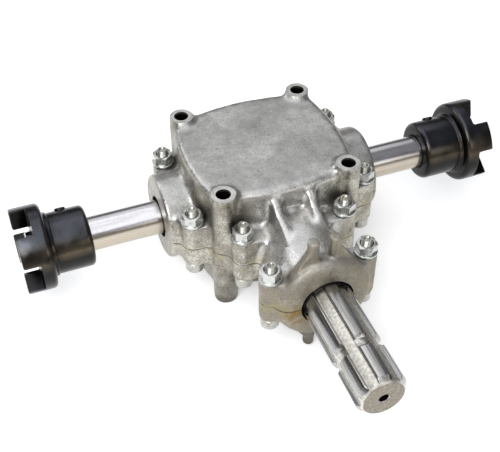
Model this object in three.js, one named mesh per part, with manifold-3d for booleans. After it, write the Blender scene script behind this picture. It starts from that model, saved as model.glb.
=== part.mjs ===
// Right angle bevel gearbox: a split aluminium case, a straight cross shaft with a jaw coupling on
// each end, and a six-spline power take-off shaft at right angles to it.
// Millimetres, +Z up. While it is being built the origin is where the two shaft axes cross:
// +X runs along the cross shaft, -Y along the splined shaft, and the case splits on the plane z = 0.
// The last step moves everything so that the origin is the bottom centre of the bounding box.

import * as THREE from 'three';
import { mergeVertices } from 'three/addons/utils/BufferGeometryUtils.js';
import Module from 'manifold-3d';

const wasm = await Module();
wasm.setup();

// ---------------------------------------------------------------- driving dimensions

const GAP = 0.3; // clearance left between two pieces that touch in the real gearbox

// case
const POST_AT = 46; // the four clamp posts stand at (+-46, +-46)
const POST_R = 9;
const POST_HOLE_R = 5.25;
const POST_TOP = 48.8;
const POST_BOTTOM = -50;
const ROOF_Z = 46;
const FLOOR_Z = -43;
const WALL_X = 60;
const WALL_Y = 55;
const WALL = 4.5;
const LUG_TOP = 19.5;
const LUG_BOTTOM = -16.7;
const LUG_R = 8;

// cross shaft and its bearings
const SHAFT_R = 12.5;
const SHAFT_SHIFT = -2; // the cross shaft sits a little towards its left end
const SHAFT_HALF = 174;
const COLLAR_R = 31.2;
const COLLAR_END = 80.5;
const COLLAR_OPENING_R = 15.5;

// splined shaft and the nose that carries it
const SPLINE_R = 17.45;
const SPLINE_ROOT_R = 14.8;
const SPLINE_TOOTH = 8.7;
const SPLINE_PHASE = 88; // degrees from +X towards +Z to the first tooth
const SPLINE_START = 115.5;
const SPLINE_END = 203;
const LOCK_GROOVE_AT = 168.7;
const CENTRE_HOLE_R = 3.4;
const PTO_R = 15;
const PTO_INNER_END = 22;
const NECK_INNER_R = 24;
const NECK_R = 29.7;
const NOSE_R = 34;
const NOSE_BACK = 106; // the ring tapers from NOSE_R at its edge to NOSE_BACK_R here
const NOSE_BACK_R = 31;
const NOSE_EDGE = 114.5;
const NOSE_FACE = 120;
const NOSE_OPENING_R = 19.5;
const RIB_AT = [-11.5, 14.5]; // x of the two gussets between the front wall and the neck
const RIB_T = 4.4;
const RIB_BACK = 50;
const RIB_CREST = 56;
const RIB_FRONT = 97;
const RIB_TOP = 41;
const RIB_FOOT = 24;
const PRONG_X = 7.6;
const PRONG_Y = 109;
const PRONG_R = 4.2;
const PRONG_TOP = 49.5;

// bolts: [x, y] of one quarter, repeated where it belongs
const NOSE_BOLT = [34.4, -103];
const FRONT_BOLT = [37.8, -61.2];
const SIDE_BOLT = [65.3, 34.7];
const BOLT_R = 4;
const BOLT_HOLE_R = 4.7;
const BOLT_HEAD_R = 6.5;
const BOLT_HEAD_H = 8;
const NUT_FLATS = 13;
const NUT_H = 6.5;
const WASHER_R = 8;
const WASHER_H = 1.6;
const BOLT_TOP = 31.8;

// mitre bevel gears, both the same size
const TEETH = 16;
const MODULE = 4.375;
const PITCH_R = (TEETH * MODULE) / 2;
const FACE_WIDTH = 13;
const ADDENDUM = 3.8;
const DEDENDUM = 4.8;
const PRESSURE_ANGLE = (20 * Math.PI) / 180;
const BACKLASH = 0.3; // taken off each flank

// jaw couplings, distances measured along the shaft from its middle
const HUB_R = 22.1;
const HUB_START = 130.2;
const FLANGE_START = 159.6;
const FLANGE_R = 30.9;
const JAW_START = 168.9;
const JAW_END = 181;
const JAW_INNER_R = 17;
const JAW_ANGLE = 41;
const JAW_PHASE = 39;
const SCREW_FROM_MIDDLE = 146;

// ---------------------------------------------------------------- materials

const material = (colour, roughness, metalness) =>
  new THREE.MeshStandardMaterial({ color: new THREE.Color(colour), roughness, metalness });

const castAluminium = () => material('#a6a49d', 0.55, 0.9);
const groundSteel = () => material('#b9bab8', 0.25, 1);
const gearSteel = () => material('#8d8f90', 0.35, 1);
const bearingSteel = () => material('#a9abad', 0.2, 1);
const blackOxide = () => material('#1d1e20', 0.45, 0.6);
const zincPlate = () => material('#c2c3b8', 0.3, 1);
const sealRubber = () => material('#17181a', 0.7, 0);

// ---------------------------------------------------------------- solids

const radians = (degrees) => (degrees * Math.PI) / 180;

// A closed three.js geometry as a manifold solid, turned outside out if need be.
function solid(geometry) {
  const bare = geometry.index ? geometry.toNonIndexed() : geometry.clone();
  bare.deleteAttribute('normal');
  bare.deleteAttribute('uv');
  const merged = mergeVertices(bare, 1e-4);
  const points = Float32Array.from(merged.attributes.position.array);
  const triangles = [];
  let volume = 0;
  const corner = (i) => new THREE.Vector3(points[3 * i], points[3 * i + 1], points[3 * i + 2]);
  for (let t = 0; t < merged.index.count; t += 3) {
    const [a, b, c] = [0, 1, 2].map((k) => merged.index.getX(t + k));
    if (a === b || b === c || c === a) continue;
    triangles.push([a, b, c]);
    volume += corner(a).dot(corner(b).cross(corner(c)));
  }
  const ordered = volume < 0 ? triangles.map(([a, b, c]) => [a, c, b]) : triangles;
  return new wasm.Manifold(
    new wasm.Mesh({ numProp: 3, vertProperties: points, triVerts: Uint32Array.from(ordered.flat()) }),
  );
}

const union = (solids) => solids.reduce((sum, next) => sum.add(next));
const cut = (body, tools) => tools.reduce((rest, tool) => rest.subtract(tool), body);

// A manifold solid as a named mesh.
function piece(name, shape, look) {
  const mesh = shape.getMesh();
  const geometry = new THREE.BufferGeometry();
  geometry.setAttribute('position', new THREE.BufferAttribute(Float32Array.from(mesh.vertProperties), 3));
  geometry.setIndex(Array.from(mesh.triVerts));
  const node = new THREE.Mesh(geometry, look);
  node.name = name;
  return node;
}

function box(x0, x1, y0, y1, z0, z1) {
  const geometry = new THREE.BoxGeometry(x1 - x0, y1 - y0, z1 - z0);
  geometry.translate((x0 + x1) / 2, (y0 + y1) / 2, (z0 + z1) / 2);
  return solid(geometry);
}

// Revolved solids. A profile is a list of [radius, distance along the axis].
function latheGeometry(profile, segments) {
  const points = profile.map(([radius, along]) => new THREE.Vector2(radius, along));
  return new THREE.LatheGeometry(points, segments);
}

function latheX(profile, segments = 32) {
  return solid(latheGeometry(profile, segments).rotateZ(-Math.PI / 2));
}

function latheY(profile, segments = 32) {
  return solid(latheGeometry(profile, segments));
}

function latheZ(profile, x, y, segments = 16) {
  return solid(latheGeometry(profile, segments).rotateX(Math.PI / 2).translate(x, y, 0));
}

const rod = (radius, from, to) => [[0, from], [radius, from], [radius, to], [0, to]];
const tube = (inner, outer, from, to) => [
  [inner, from], [outer, from], [outer, to], [inner, to], [inner, from],
];

// A flat outline in the XY plane pushed up from z0 to z1.
function prism(shape, z0, z1, curveSegments = 4) {
  const geometry = new THREE.ExtrudeGeometry(shape, { depth: z1 - z0, bevelEnabled: false, curveSegments });
  return solid(geometry.translate(0, 0, z0));
}

// The same solid moved, turned or mirrored.
function placed(shape, matrix) {
  const mesh = shape.getMesh();
  const geometry = new THREE.BufferGeometry();
  geometry.setAttribute('position', new THREE.BufferAttribute(Float32Array.from(mesh.vertProperties), 3));
  geometry.setIndex(Array.from(mesh.triVerts));
  return solid(geometry.applyMatrix4(matrix));
}

const matrix = () => new THREE.Matrix4();
const mirrorX = (shape) => placed(shape, matrix().makeScale(-1, 1, 1));
const mirrorY = (shape) => placed(shape, matrix().makeScale(1, -1, 1));
const mirrorZ = (shape) => placed(shape, matrix().makeScale(1, 1, -1));
const move = (shape, x, y, z) => placed(shape, matrix().makeTranslation(x, y, z));
const turnX = (shape, degrees) => placed(shape, matrix().makeRotationX(radians(-degrees)));
const alongY = (shape) => placed(shape, matrix().makeRotationZ(-Math.PI / 2));
const bothSides = (shape) => [shape, mirrorX(shape)];

// ---------------------------------------------------------------- case

// Plan of the case: four bowed sides that meet at the posts.
function planOutline(halfX, halfY, corner) {
  const bow = 5;
  const shape = new THREE.Shape();
  shape.moveTo(-corner, -halfY + bow);
  shape.quadraticCurveTo(0, -halfY - bow, corner, -halfY + bow);
  shape.lineTo(halfX - bow, -corner);
  shape.quadraticCurveTo(halfX + bow, 0, halfX - bow, corner);
  shape.lineTo(corner, halfY - bow);
  shape.quadraticCurveTo(0, halfY + bow, -corner, halfY - bow);
  shape.lineTo(-halfX + bow, corner);
  shape.quadraticCurveTo(-halfX - bow, 0, -halfX + bow, -corner);
  shape.closePath();
  return shape;
}

// The boxy middle of one half, from the split plane to `height`, with rounded rim and a little draft.
function caseBody(height, rim, draft) {
  const geometry = new THREE.ExtrudeGeometry(planOutline(WALL_X, WALL_Y, 42), {
    depth: height,
    bevelThickness: rim,
    bevelSize: rim,
    bevelOffset: -rim,
    bevelSegments: 2,
    curveSegments: 4,
  });
  const position = geometry.attributes.position;
  for (let i = 0; i < position.count; i += 1) {
    const shrink = 1 - draft * Math.max(position.getZ(i), 0);
    position.setX(i, position.getX(i) * shrink);
    position.setY(i, position.getY(i) * shrink);
  }
  return solid(geometry);
}

// Lug with a rounded outer end around one bolt, running back to the case along y.
function boltLug(x, y, backY, innerX) {
  const side = Math.sign(y - backY);
  const shape = new THREE.Shape();
  shape.moveTo(innerX, backY);
  shape.lineTo(innerX, y + side * LUG_R);
  shape.lineTo(x, y + side * LUG_R);
  shape.absarc(x, y, LUG_R, side * Math.PI * 0.5, 0, side > 0);
  shape.lineTo(x + LUG_R, backY);
  shape.closePath();
  return prism(shape, LUG_BOTTOM, LUG_TOP);
}

// Lug of a nose bolt: round outside, straight back to the neck along x.
function noseLug() {
  const [x, y] = NOSE_BOLT;
  const shape = new THREE.Shape();
  shape.moveTo(20, y - LUG_R);
  shape.lineTo(x, y - LUG_R);
  shape.absarc(x, y, LUG_R, -Math.PI / 2, Math.PI / 2, false);
  shape.lineTo(20, y + LUG_R);
  shape.closePath();
  return prism(shape, LUG_BOTTOM, LUG_TOP);
}

// Lug of a side bolt, growing out of the bearing collar: round outside, straight back to the wall.
function sideLug() {
  const [x, y] = SIDE_BOLT;
  const inCollar = 20;
  const shape = new THREE.Shape();
  shape.moveTo(x - LUG_R, inCollar);
  shape.lineTo(x + LUG_R, inCollar);
  shape.absarc(x, y, LUG_R, 0, Math.PI / 2, false);
  shape.lineTo(x - LUG_R, y + LUG_R);
  shape.closePath();
  return prism(shape, LUG_BOTTOM, LUG_TOP);
}

// Web between the nose ring and the guard peg that stands on it, above the shaft on the +X side.
function pegWeb() {
  const thickness = 2 * PRONG_R - 2;
  const shape = new THREE.Shape();
  shape.moveTo(PRONG_X - PRONG_R + 0.4, 24);
  shape.lineTo(24, 22);
  shape.lineTo(PRONG_X + PRONG_R - 0.3, 41);
  shape.lineTo(PRONG_X - PRONG_R + 0.4, 41);
  shape.closePath();
  const geometry = new THREE.ExtrudeGeometry(shape, { depth: thickness, bevelEnabled: false });
  return solid(geometry.rotateX(Math.PI / 2).translate(0, -PRONG_Y + thickness / 2, 0));
}

function prong(x) {
  const tip = 1.2;
  return latheZ(
    [
      [0, -PRONG_TOP],
      [PRONG_R - tip, -PRONG_TOP],
      [PRONG_R, -PRONG_TOP + tip],
      [PRONG_R, PRONG_TOP - 0.6],
      [PRONG_R - 0.6, PRONG_TOP],
      [0, PRONG_TOP],
    ],
    x,
    -PRONG_Y,
    12,
  );
}

// Neck, nose ring and its rounded front, all turned about the splined shaft.
function noseTurned() {
  return latheY(
    [
      [0, -NOSE_FACE],
      [26, -NOSE_FACE],
      [30.5, -NOSE_FACE + 1.7],
      [NOSE_R, -NOSE_EDGE],
      [NOSE_BACK_R, -NOSE_BACK],
      [NECK_R, -NOSE_BACK + 3],
      [NECK_R - 1.5, -WALL_Y],
      [0, -WALL_Y + WALL],
    ],
    24,
  );
}

// Gusset from the front wall of the cover down to the neck, drawn with the distance from the cross
// shaft as its first coordinate and the height as its second.
function rib(x) {
  const shape = new THREE.Shape();
  shape.moveTo(RIB_BACK, RIB_FOOT);
  shape.lineTo(RIB_BACK, RIB_TOP);
  shape.lineTo(RIB_CREST, RIB_TOP - 1);
  shape.quadraticCurveTo(RIB_CREST + 5, 34, RIB_CREST + 12, 31.4);
  shape.lineTo(RIB_FRONT - 5, 30);
  shape.lineTo(RIB_FRONT, RIB_FOOT);
  shape.closePath();
  const geometry = new THREE.ExtrudeGeometry(shape, { depth: RIB_T, bevelEnabled: false, curveSegments: 3 });
  geometry.rotateX(Math.PI / 2).rotateZ(-Math.PI / 2).translate(x - RIB_T / 2, 0, 0);
  return solid(geometry);
}

function collar() {
  const edge = 1.5;
  return latheX(
    [
      [0, 40],
      [COLLAR_R, 40],
      [COLLAR_R, COLLAR_END - edge],
      [COLLAR_R - edge, COLLAR_END],
      [0, COLLAR_END],
    ],
    26,
  );
}

function post(x, y) {
  return latheZ(rod(POST_R, POST_BOTTOM, POST_TOP), x, y, 14);
}

const corners = [1, -1].flatMap((sx) => [1, -1].map((sy) => [sx * POST_AT, sy * POST_AT]));

const boltPlaces = {
  nose_left: [-NOSE_BOLT[0], NOSE_BOLT[1]],
  nose_right: [NOSE_BOLT[0], NOSE_BOLT[1]],
  front_left: [-FRONT_BOLT[0], FRONT_BOLT[1]],
  front_right: [FRONT_BOLT[0], FRONT_BOLT[1]],
  left_front: [-SIDE_BOLT[0], -SIDE_BOLT[1]],
  left_rear: [-SIDE_BOLT[0], SIDE_BOLT[1]],
  right_front: [SIDE_BOLT[0], -SIDE_BOLT[1]],
  right_rear: [SIDE_BOLT[0], SIDE_BOLT[1]],
  rear_left: [-FRONT_BOLT[0], -FRONT_BOLT[1]],
  rear_right: [FRONT_BOLT[0], -FRONT_BOLT[1]],
};

// bearings: distance from the shaft crossing to the inner side, and sizes (25x52x15 and 30x55x13)
const CROSS_BEARING = { bore: 25, outer: 52, width: 15, ball: 7.9, pitch: 38.5, balls: 9, at: 51 };
const FRONT_BEARING = { bore: 30, outer: 55, width: 13, ball: 7.1, pitch: 42.5, balls: 9, at: 91.5 };
const REAR_BEARING = { ...FRONT_BEARING, at: 42 };
const CROSS_SEAL = { inner: SHAFT_R, outer: 26, from: 69, to: 76 };
const NOSE_SEAL = { inner: SPLINE_R, outer: 26, from: 106, to: 113 };

const seat = (bearing) => bearing.outer / 2 + GAP + 0.2;

// Everything hollow inside the case, both halves at once.
function hollows() {
  const cavityX = CROSS_BEARING.at - 0.4;
  const backY = WALL_Y - WALL;
  const cavity = box(
    -cavityX, cavityX,
    -REAR_BEARING.at + 0.3, backY - 1,
    FLOOR_Z + WALL - 0.3, ROOF_Z - WALL,
  );
  const bearingBore = latheX(rod(seat(CROSS_BEARING), 40, CROSS_SEAL.to + GAP), 20);
  const opening = latheX(rod(COLLAR_OPENING_R, 60, COLLAR_END + 5), 16);
  const noseProfile = [
    [0, -NOSE_FACE - 5],
    [NOSE_OPENING_R, -NOSE_FACE - 5],
    [NOSE_OPENING_R, -NOSE_SEAL.to - GAP],
    [NOSE_SEAL.outer + 0.5, -NOSE_SEAL.to - GAP],
    [NOSE_SEAL.outer + 0.5, -NOSE_SEAL.from + GAP],
    [seat(FRONT_BEARING), -NOSE_SEAL.from + GAP],
    [seat(FRONT_BEARING), -FRONT_BEARING.at + GAP],
    [NECK_INNER_R, -FRONT_BEARING.at + GAP],
    [NECK_INNER_R, -REAR_BEARING.at - REAR_BEARING.width - GAP],
    [seat(REAR_BEARING), -REAR_BEARING.at - REAR_BEARING.width - GAP],
    [seat(REAR_BEARING), -REAR_BEARING.at + 4],
    [0, -REAR_BEARING.at + 4],
  ];
  const nose = latheY(noseProfile, 20);
  return { nose, all: [cavity, ...bothSides(bearingBore), ...bothSides(opening), nose] };
}

function caseHalves() {
  const tall = caseBody(ROOF_Z - 5, 5, 0.0006);
  const deep = mirrorZ(caseBody(-FLOOR_Z - 6, 6, 0.0014));
  const features = [
    ...bothSides(collar()),
    noseTurned(),
    ...bothSides(pegWeb()),
    ...bothSides(mirrorZ(pegWeb())),
    ...bothSides(boltLug(FRONT_BOLT[0], FRONT_BOLT[1], -50, 24)),
    ...bothSides(mirrorY(boltLug(FRONT_BOLT[0], FRONT_BOLT[1], -50, 29.8))),
    ...bothSides(noseLug()),
    ...bothSides(sideLug()),
    ...bothSides(mirrorY(sideLug())),
  ];
  const inside = hollows();
  const shell = cut(union([tall, deep, ...features]), inside.all);
  const posts = corners.map(([x, y]) => post(x, y));
  const prongs = bothSides(prong(PRONG_X));
  const neckInside = latheY(rod(NECK_INNER_R + 0.2, -100, -45), 20);
  const ribs = cut(union(RIB_AT.map(rib)), [neckInside]);
  const holes = [
    ...corners.map(([x, y]) => latheZ(rod(POST_HOLE_R, -60, 60), x, y, 10)),
    ...Object.values(boltPlaces).map(([x, y]) => latheZ(rod(BOLT_HOLE_R, -60, 60), x, y, 8)),
  ];
  // the nose ring is cut back for the washers and bolt heads beside it
  const rooms = bothSides(
    union([
      latheZ(rod(WASHER_R + 0.5, LUG_TOP, 40), NOSE_BOLT[0], NOSE_BOLT[1]),
      latheZ(rod(BOLT_HEAD_R + 0.7, -40, LUG_BOTTOM), NOSE_BOLT[0], NOSE_BOLT[1]),
    ]),
  );
  const outside = union([cut(union([shell, ...posts, ribs]), rooms), ...prongs]);
  const whole = cut(outside, [...holes, inside.nose]);
  return {
    upper: whole.intersect(box(-200, 200, -260, 120, GAP / 2, 80)),
    lower: whole.intersect(box(-200, 200, -260, 120, -80, -GAP / 2)),
  };
}

// ---------------------------------------------------------------- fasteners

function bolt([x, y]) {
  const underHead = LUG_BOTTOM - GAP;
  const chamfer = 0.7;
  const body = latheZ(
    [
      [0, underHead - BOLT_HEAD_H],
      [BOLT_HEAD_R, underHead - BOLT_HEAD_H],
      [BOLT_HEAD_R, underHead],
      [BOLT_R, underHead],
      [BOLT_R, BOLT_TOP - chamfer],
      [BOLT_R - chamfer, BOLT_TOP],
      [0, BOLT_TOP],
    ],
    x,
    y,
    10,
  );
  const socket = new THREE.CylinderGeometry(3.46, 3.46, 8, 6).rotateX(Math.PI / 2);
  socket.translate(x, y, underHead - BOLT_HEAD_H);
  return body.subtract(solid(socket));
}

// Hexagon nut and the washer under it.
function nut([x, y]) {
  const bottom = LUG_TOP + GAP;
  const top = bottom + WASHER_H + NUT_H;
  const corner = NUT_FLATS / Math.sqrt(3);
  const chamfer = 0.8;
  const hexagon = [
    [0, bottom + 0.5],
    [corner, bottom + 0.5],
    [corner, top - chamfer],
    [corner - chamfer, top],
    [0, top],
  ];
  const washer = rod(WASHER_R, bottom, bottom + WASHER_H);
  const bore = rod(BOLT_R + 0.4, 0, 50);
  return latheZ(hexagon, x, y, 6).add(latheZ(washer, x, y, 12)).subtract(latheZ(bore, x, y, 8));
}

// ---------------------------------------------------------------- shafts and what sits on them

// A parallel key lying along x with its middle plane at `angle` from -Y towards +Z.
function keyBar(width, low, high, from, to) {
  return box(from, to, -high, -low, -width / 2, width / 2);
}

const GEAR_KEY = { from: 29.5, to: 48.5, angle: 60 };
const PINION_KEY = { from: 27.8, to: 40.8 };
const COUPLING_KEY = { from: 133, to: 158, angle: 129 };
const CIRCLIP_AT = CROSS_BEARING.at + CROSS_BEARING.width + 0.5;
const CIRCLIP_T = 1.2;
const CIRCLIP_DEEP = 0.9;
const PINION_CLIP_AT = 25.4;

function ringGroove(radius, from) {
  return tube(radius - CIRCLIP_DEEP, radius + 2, from - 0.2, from + CIRCLIP_T + 0.2);
}

function crossShaft() {
  const chamfer = 1;
  const left = -SHAFT_HALF + SHAFT_SHIFT;
  const right = SHAFT_HALF + SHAFT_SHIFT;
  const bar = latheX(
    [
      [0, left],
      [SHAFT_R - chamfer, left],
      [SHAFT_R, left + chamfer],
      [SHAFT_R, right - chamfer],
      [SHAFT_R - chamfer, right],
      [0, right],
    ],
    28,
  );
  const seatOf = (key, shift, flip) => {
    const bar = keyBar(8 + 2 * GAP, SHAFT_R - 4 - GAP, SHAFT_R + 5, key.from - GAP, key.to + GAP);
    const bed = turnX(bar, key.angle);
    return move(flip ? mirrorX(bed) : bed, shift, 0, 0);
  };
  return cut(bar, [
    seatOf(GEAR_KEY, 0, false),
    seatOf(COUPLING_KEY, SHAFT_SHIFT, false),
    seatOf(COUPLING_KEY, SHAFT_SHIFT, true),
    ...bothSides(latheX(ringGroove(SHAFT_R, CIRCLIP_AT))),
  ]);
}

// Open retaining ring in its groove, lying across the x axis.
function circlip(radius, from) {
  const inner = radius - CIRCLIP_DEEP + GAP;
  const outer = radius + 2.6;
  const open = radians(24);
  const shape = new THREE.Shape();
  shape.absarc(0, 0, outer, open, 2 * Math.PI - open, false);
  shape.absarc(0, 0, inner, 2 * Math.PI - open, open, true);
  shape.closePath();
  const ring = { depth: CIRCLIP_T, bevelEnabled: false, curveSegments: 12 };
  const geometry = new THREE.ExtrudeGeometry(shape, ring);
  return solid(geometry.rotateY(Math.PI / 2).translate(from, 0, 0));
}

function spacer(inner, outer, from, to) {
  return tube(inner + GAP, outer, from + GAP, to - GAP);
}

// Six straight splines, the ends bevelled and a ball-lock groove cut round them.
function splineBar() {
  const shape = new THREE.Shape();
  const half = SPLINE_TOOTH / 2;
  const tip = Math.asin(half / SPLINE_R);
  const root = Math.asin(half / SPLINE_ROOT_R);
  for (let tooth = 0; tooth < 6; tooth += 1) {
    const middle = radians(SPLINE_PHASE + 60 * tooth);
    const next = middle + radians(60);
    const start = [SPLINE_ROOT_R * Math.cos(middle - root), SPLINE_ROOT_R * Math.sin(middle - root)];
    if (tooth === 0) shape.moveTo(...start);
    shape.lineTo(SPLINE_R * Math.cos(middle - tip), SPLINE_R * Math.sin(middle - tip));
    shape.absarc(0, 0, SPLINE_R, middle - tip, middle + tip, false);
    shape.lineTo(SPLINE_ROOT_R * Math.cos(middle + root), SPLINE_ROOT_R * Math.sin(middle + root));
    shape.absarc(0, 0, SPLINE_ROOT_R, middle + root, next - root, false);
  }
  shape.closePath();
  const bar = new THREE.ExtrudeGeometry(shape, {
    depth: SPLINE_END - SPLINE_START,
    bevelEnabled: false,
    curveSegments: 2,
  });
  // drawn in x and z, pushed from the nose to the free end along -Y
  bar.rotateX(Math.PI / 2).translate(0, -SPLINE_START, 0);
  const clear = SPLINE_R + 0.4;
  const envelope = latheY(
    [
      [0, -SPLINE_END],
      [SPLINE_ROOT_R - 1, -SPLINE_END],
      [clear, -SPLINE_END + 5],
      [clear, -LOCK_GROOVE_AT - 5.2],
      [SPLINE_ROOT_R + 0.3, -LOCK_GROOVE_AT - 2.5],
      [SPLINE_ROOT_R + 0.3, -LOCK_GROOVE_AT + 2.5],
      [clear, -LOCK_GROOVE_AT + 5.2],
      [clear, -SPLINE_START - 1],
      [0, -SPLINE_START - 1],
    ],
    24,
  );
  return solid(bar).intersect(envelope);
}

function ptoShaft() {
  const shoulder = FRONT_BEARING.at + FRONT_BEARING.width + 0.4;
  const inner = latheY(
    [
      [0, -SPLINE_START - 1.5],
      [SPLINE_ROOT_R - 0.3, -SPLINE_START - 1.5],
      [SPLINE_R, -SPLINE_START + 2.5],
      [SPLINE_R, -shoulder],
      [PTO_R, -shoulder],
      [PTO_R, -PTO_INNER_END - 1],
      [PTO_R - 1, -PTO_INNER_END],
      [0, -PTO_INNER_END],
    ],
    28,
  );
  const bed = keyBar(8 + 2 * GAP, PTO_R - 4 - GAP, PTO_R + 5, PINION_KEY.from - GAP, PINION_KEY.to + GAP);
  const centreHole = latheY(
    [
      [0, -SPLINE_END - 1],
      [CENTRE_HOLE_R, -SPLINE_END - 1],
      [CENTRE_HOLE_R, -SPLINE_END + 4],
      [0, -SPLINE_END + 9],
    ],
    12,
  );
  return cut(splineBar().add(inner), [
    alongY(bed),
    alongY(latheX(ringGroove(PTO_R, PINION_CLIP_AT))),
    centreHole,
  ]);
}

// Half thickness of a tooth of the matching spur wheel, `height` above its pitch circle.
function toothHalf(height) {
  const wheelR = PITCH_R * Math.SQRT2;
  const baseR = wheelR * Math.cos(PRESSURE_ANGLE);
  const involute = (angle) => Math.tan(angle) - angle;
  const r = wheelR + height;
  const angleAt = r > baseR ? Math.acos(baseR / r) : 0;
  const half = (Math.PI * MODULE) / 4 / wheelR + involute(PRESSURE_ANGLE) - involute(angleAt);
  return r * half - BACKLASH;
}

// One straight bevel tooth of a gear on the x axis, the cone apex at the origin.
function bevelTooth() {
  const heights = [-DEDENDUM - 0.9, 0, ADDENDUM];
  const side = heights.map((height) => {
    const radius = PITCH_R + height * Math.SQRT1_2;
    const angle = toothHalf(height) / radius;
    return [PITCH_R - height * Math.SQRT1_2, radius, angle];
  });
  const outline = [...side.map(([a, r, t]) => [a, r, -t]), ...side.reverse().map(([a, r, t]) => [a, r, t])];
  const inward = 1 - FACE_WIDTH / (PITCH_R * Math.SQRT2);
  const at = ([a, r, t], scale) => [a * scale, -r * Math.cos(t) * scale, r * Math.sin(t) * scale];
  const count = outline.length;
  const points = [...outline.map((p) => at(p, 1)), ...outline.map((p) => at(p, inward))].flat();
  const index = [];
  for (let i = 0; i < count; i += 1) {
    const j = (i + 1) % count;
    index.push(i, j, count + i, j, count + j, count + i);
  }
  for (let i = 0; i < count / 2 - 1; i += 1) {
    const k = count - 1 - i;
    index.push(i, k, i + 1, k, k - 1, i + 1);
    index.push(count + i, count + i + 1, count + k, count + k, count + i + 1, count + k - 1);
  }
  const geometry = new THREE.BufferGeometry();
  geometry.setAttribute('position', new THREE.BufferAttribute(Float32Array.from(points), 3));
  geometry.setIndex(index);
  return solid(geometry);
}

// Straight bevel gear on the x axis. `turn` rotates the teeth, `hubEnd` is where the hub stops.
function bevelGear(boreR, hubR, hubEnd, turn, keyAngle) {
  const inward = 1 - FACE_WIDTH / (PITCH_R * Math.SQRT2);
  const rootA = PITCH_R + DEDENDUM * Math.SQRT1_2;
  const rootR = PITCH_R - DEDENDUM * Math.SQRT1_2;
  const front = 27.5;
  const bore = boreR + GAP;
  const blank = latheX(
    [
      [bore, front],
      [rootR * inward - 1, front],
      [rootR * inward, rootA * inward],
      [rootR, rootA],
      [rootR - 1.5, rootA + 1.8],
      [hubR, rootA + 1.8],
      [hubR, hubEnd],
      [bore, hubEnd],
      [bore, front],
    ],
    TEETH,
  );
  const tooth = bevelTooth();
  const teeth = Array.from({ length: TEETH }, (_, i) => turnX(tooth, turn + (360 / TEETH) * i));
  const slot = turnX(keyBar(8 + 2 * GAP, 0, boreR + 3 + GAP, front - 1, hubEnd + 1), keyAngle);
  return cut(union([blank, ...teeth]), [slot]);
}

// Race profiles of a deep-groove ball bearing whose inner side is at bearing.at.
function raceProfiles({ bore, outer, width, ball, pitch, at }) {
  const middle = at + width / 2;
  const grooveR = ball / 2 + 2.5 * GAP;
  const shoulder = ball * 0.28;
  const half = Math.sqrt(grooveR ** 2 - shoulder ** 2);
  const arc = [-1, -0.4, 0.4, 1].map((f) => {
    const along = half * f;
    return [Math.sqrt(grooveR ** 2 - along ** 2), middle + along];
  });
  const from = at;
  const to = at + width;
  const innerFace = pitch / 2 - shoulder;
  const outerFace = pitch / 2 + shoulder;
  const boreR = bore / 2 + GAP;
  const rimR = outer / 2;
  return {
    inner: [
      [boreR, from], [innerFace, from],
      ...arc.map(([rise, along]) => [pitch / 2 - rise, along]),
      [innerFace, to], [boreR, to], [boreR, from],
    ],
    outer: [
      [outerFace, from], [rimR, from], [rimR, to], [outerFace, to],
      ...arc.reverse().map(([rise, along]) => [pitch / 2 + rise, along]),
      [outerFace, from],
    ],
  };
}

// The balls and the ribbon cage that holds them apart, one body.
function ballCage({ width, ball, pitch, balls, at }) {
  const middle = at + width / 2;
  // one flat of the ribbon behind each ball
  const stretch = 1 / Math.cos(Math.PI / balls);
  const flats = tube((pitch / 2 - 0.4) * stretch, (pitch / 2 + 0.4) * stretch, middle - 3, middle + 3);
  const ribbon = turnX(latheX(flats, balls), 180 / balls - 90);
  const sphere = solid(new THREE.SphereGeometry(ball / 2, 6, 4));
  const ringOfBalls = Array.from({ length: balls }, (_, i) =>
    turnX(move(sphere, middle, -pitch / 2, 0), (360 / balls) * i),
  );
  return union([ribbon, ...ringOfBalls]);
}

// Rubber lip seal: a stiff outer case and a lip that runs on the shaft.
function sealProfile({ inner, outer, from, to }) {
  const lip = inner + GAP;
  return [
    [lip, from + 2],
    [lip + 2.2, from],
    [outer, from],
    [outer, to],
    [lip + 1, to],
    [lip + 1, from + 4],
    [lip, from + 2],
  ];
}

// Jaw coupling on the +X end; the same part is mirrored for the other end.
function coupling() {
  const round = 3;
  const body = latheX(
    [
      [SHAFT_R + GAP, HUB_START],
      [HUB_R - round, HUB_START],
      [HUB_R, HUB_START + round],
      [HUB_R, FLANGE_START - 2],
      [HUB_R + 2, FLANGE_START],
      [FLANGE_R - round, FLANGE_START],
      [FLANGE_R, FLANGE_START + round],
      [FLANGE_R, JAW_START],
      [SHAFT_R + GAP, JAW_START],
      [SHAFT_R + GAP, HUB_START],
    ],
    28,
  );
  const jaw = () => {
    const half = radians(JAW_ANGLE / 2);
    const shape = new THREE.Shape();
    shape.absarc(0, 0, FLANGE_R - 0.1, -half, half, false);
    shape.absarc(0, 0, JAW_INNER_R, half, -half, true);
    shape.closePath();
    const geometry = new THREE.ExtrudeGeometry(shape, {
      depth: JAW_END - JAW_START + 1,
      bevelEnabled: false,
      curveSegments: 4,
    });
    // drawn about +X of the page, stood up so that it points along -Y around the shaft
    return solid(geometry.rotateZ(-Math.PI / 2).rotateY(Math.PI / 2).rotateX(-Math.PI / 2)
      .translate(JAW_START - 1, 0, 0));
  };
  const jaws = [0, 1, 2, 3].map((i) => turnX(jaw(), JAW_PHASE + 90 * i));
  const slot = turnX(
    keyBar(8 + 2 * GAP, 0, SHAFT_R + 3.2 + GAP, HUB_START - 1, JAW_START + 1),
    COUPLING_KEY.angle,
  );
  const screwHole = turnX(acrossRod(4.25, 13, 30, SCREW_FROM_MIDDLE), COUPLING_KEY.angle);
  return cut(union([body, ...jaws]), [slot, screwHole]);
}

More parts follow.
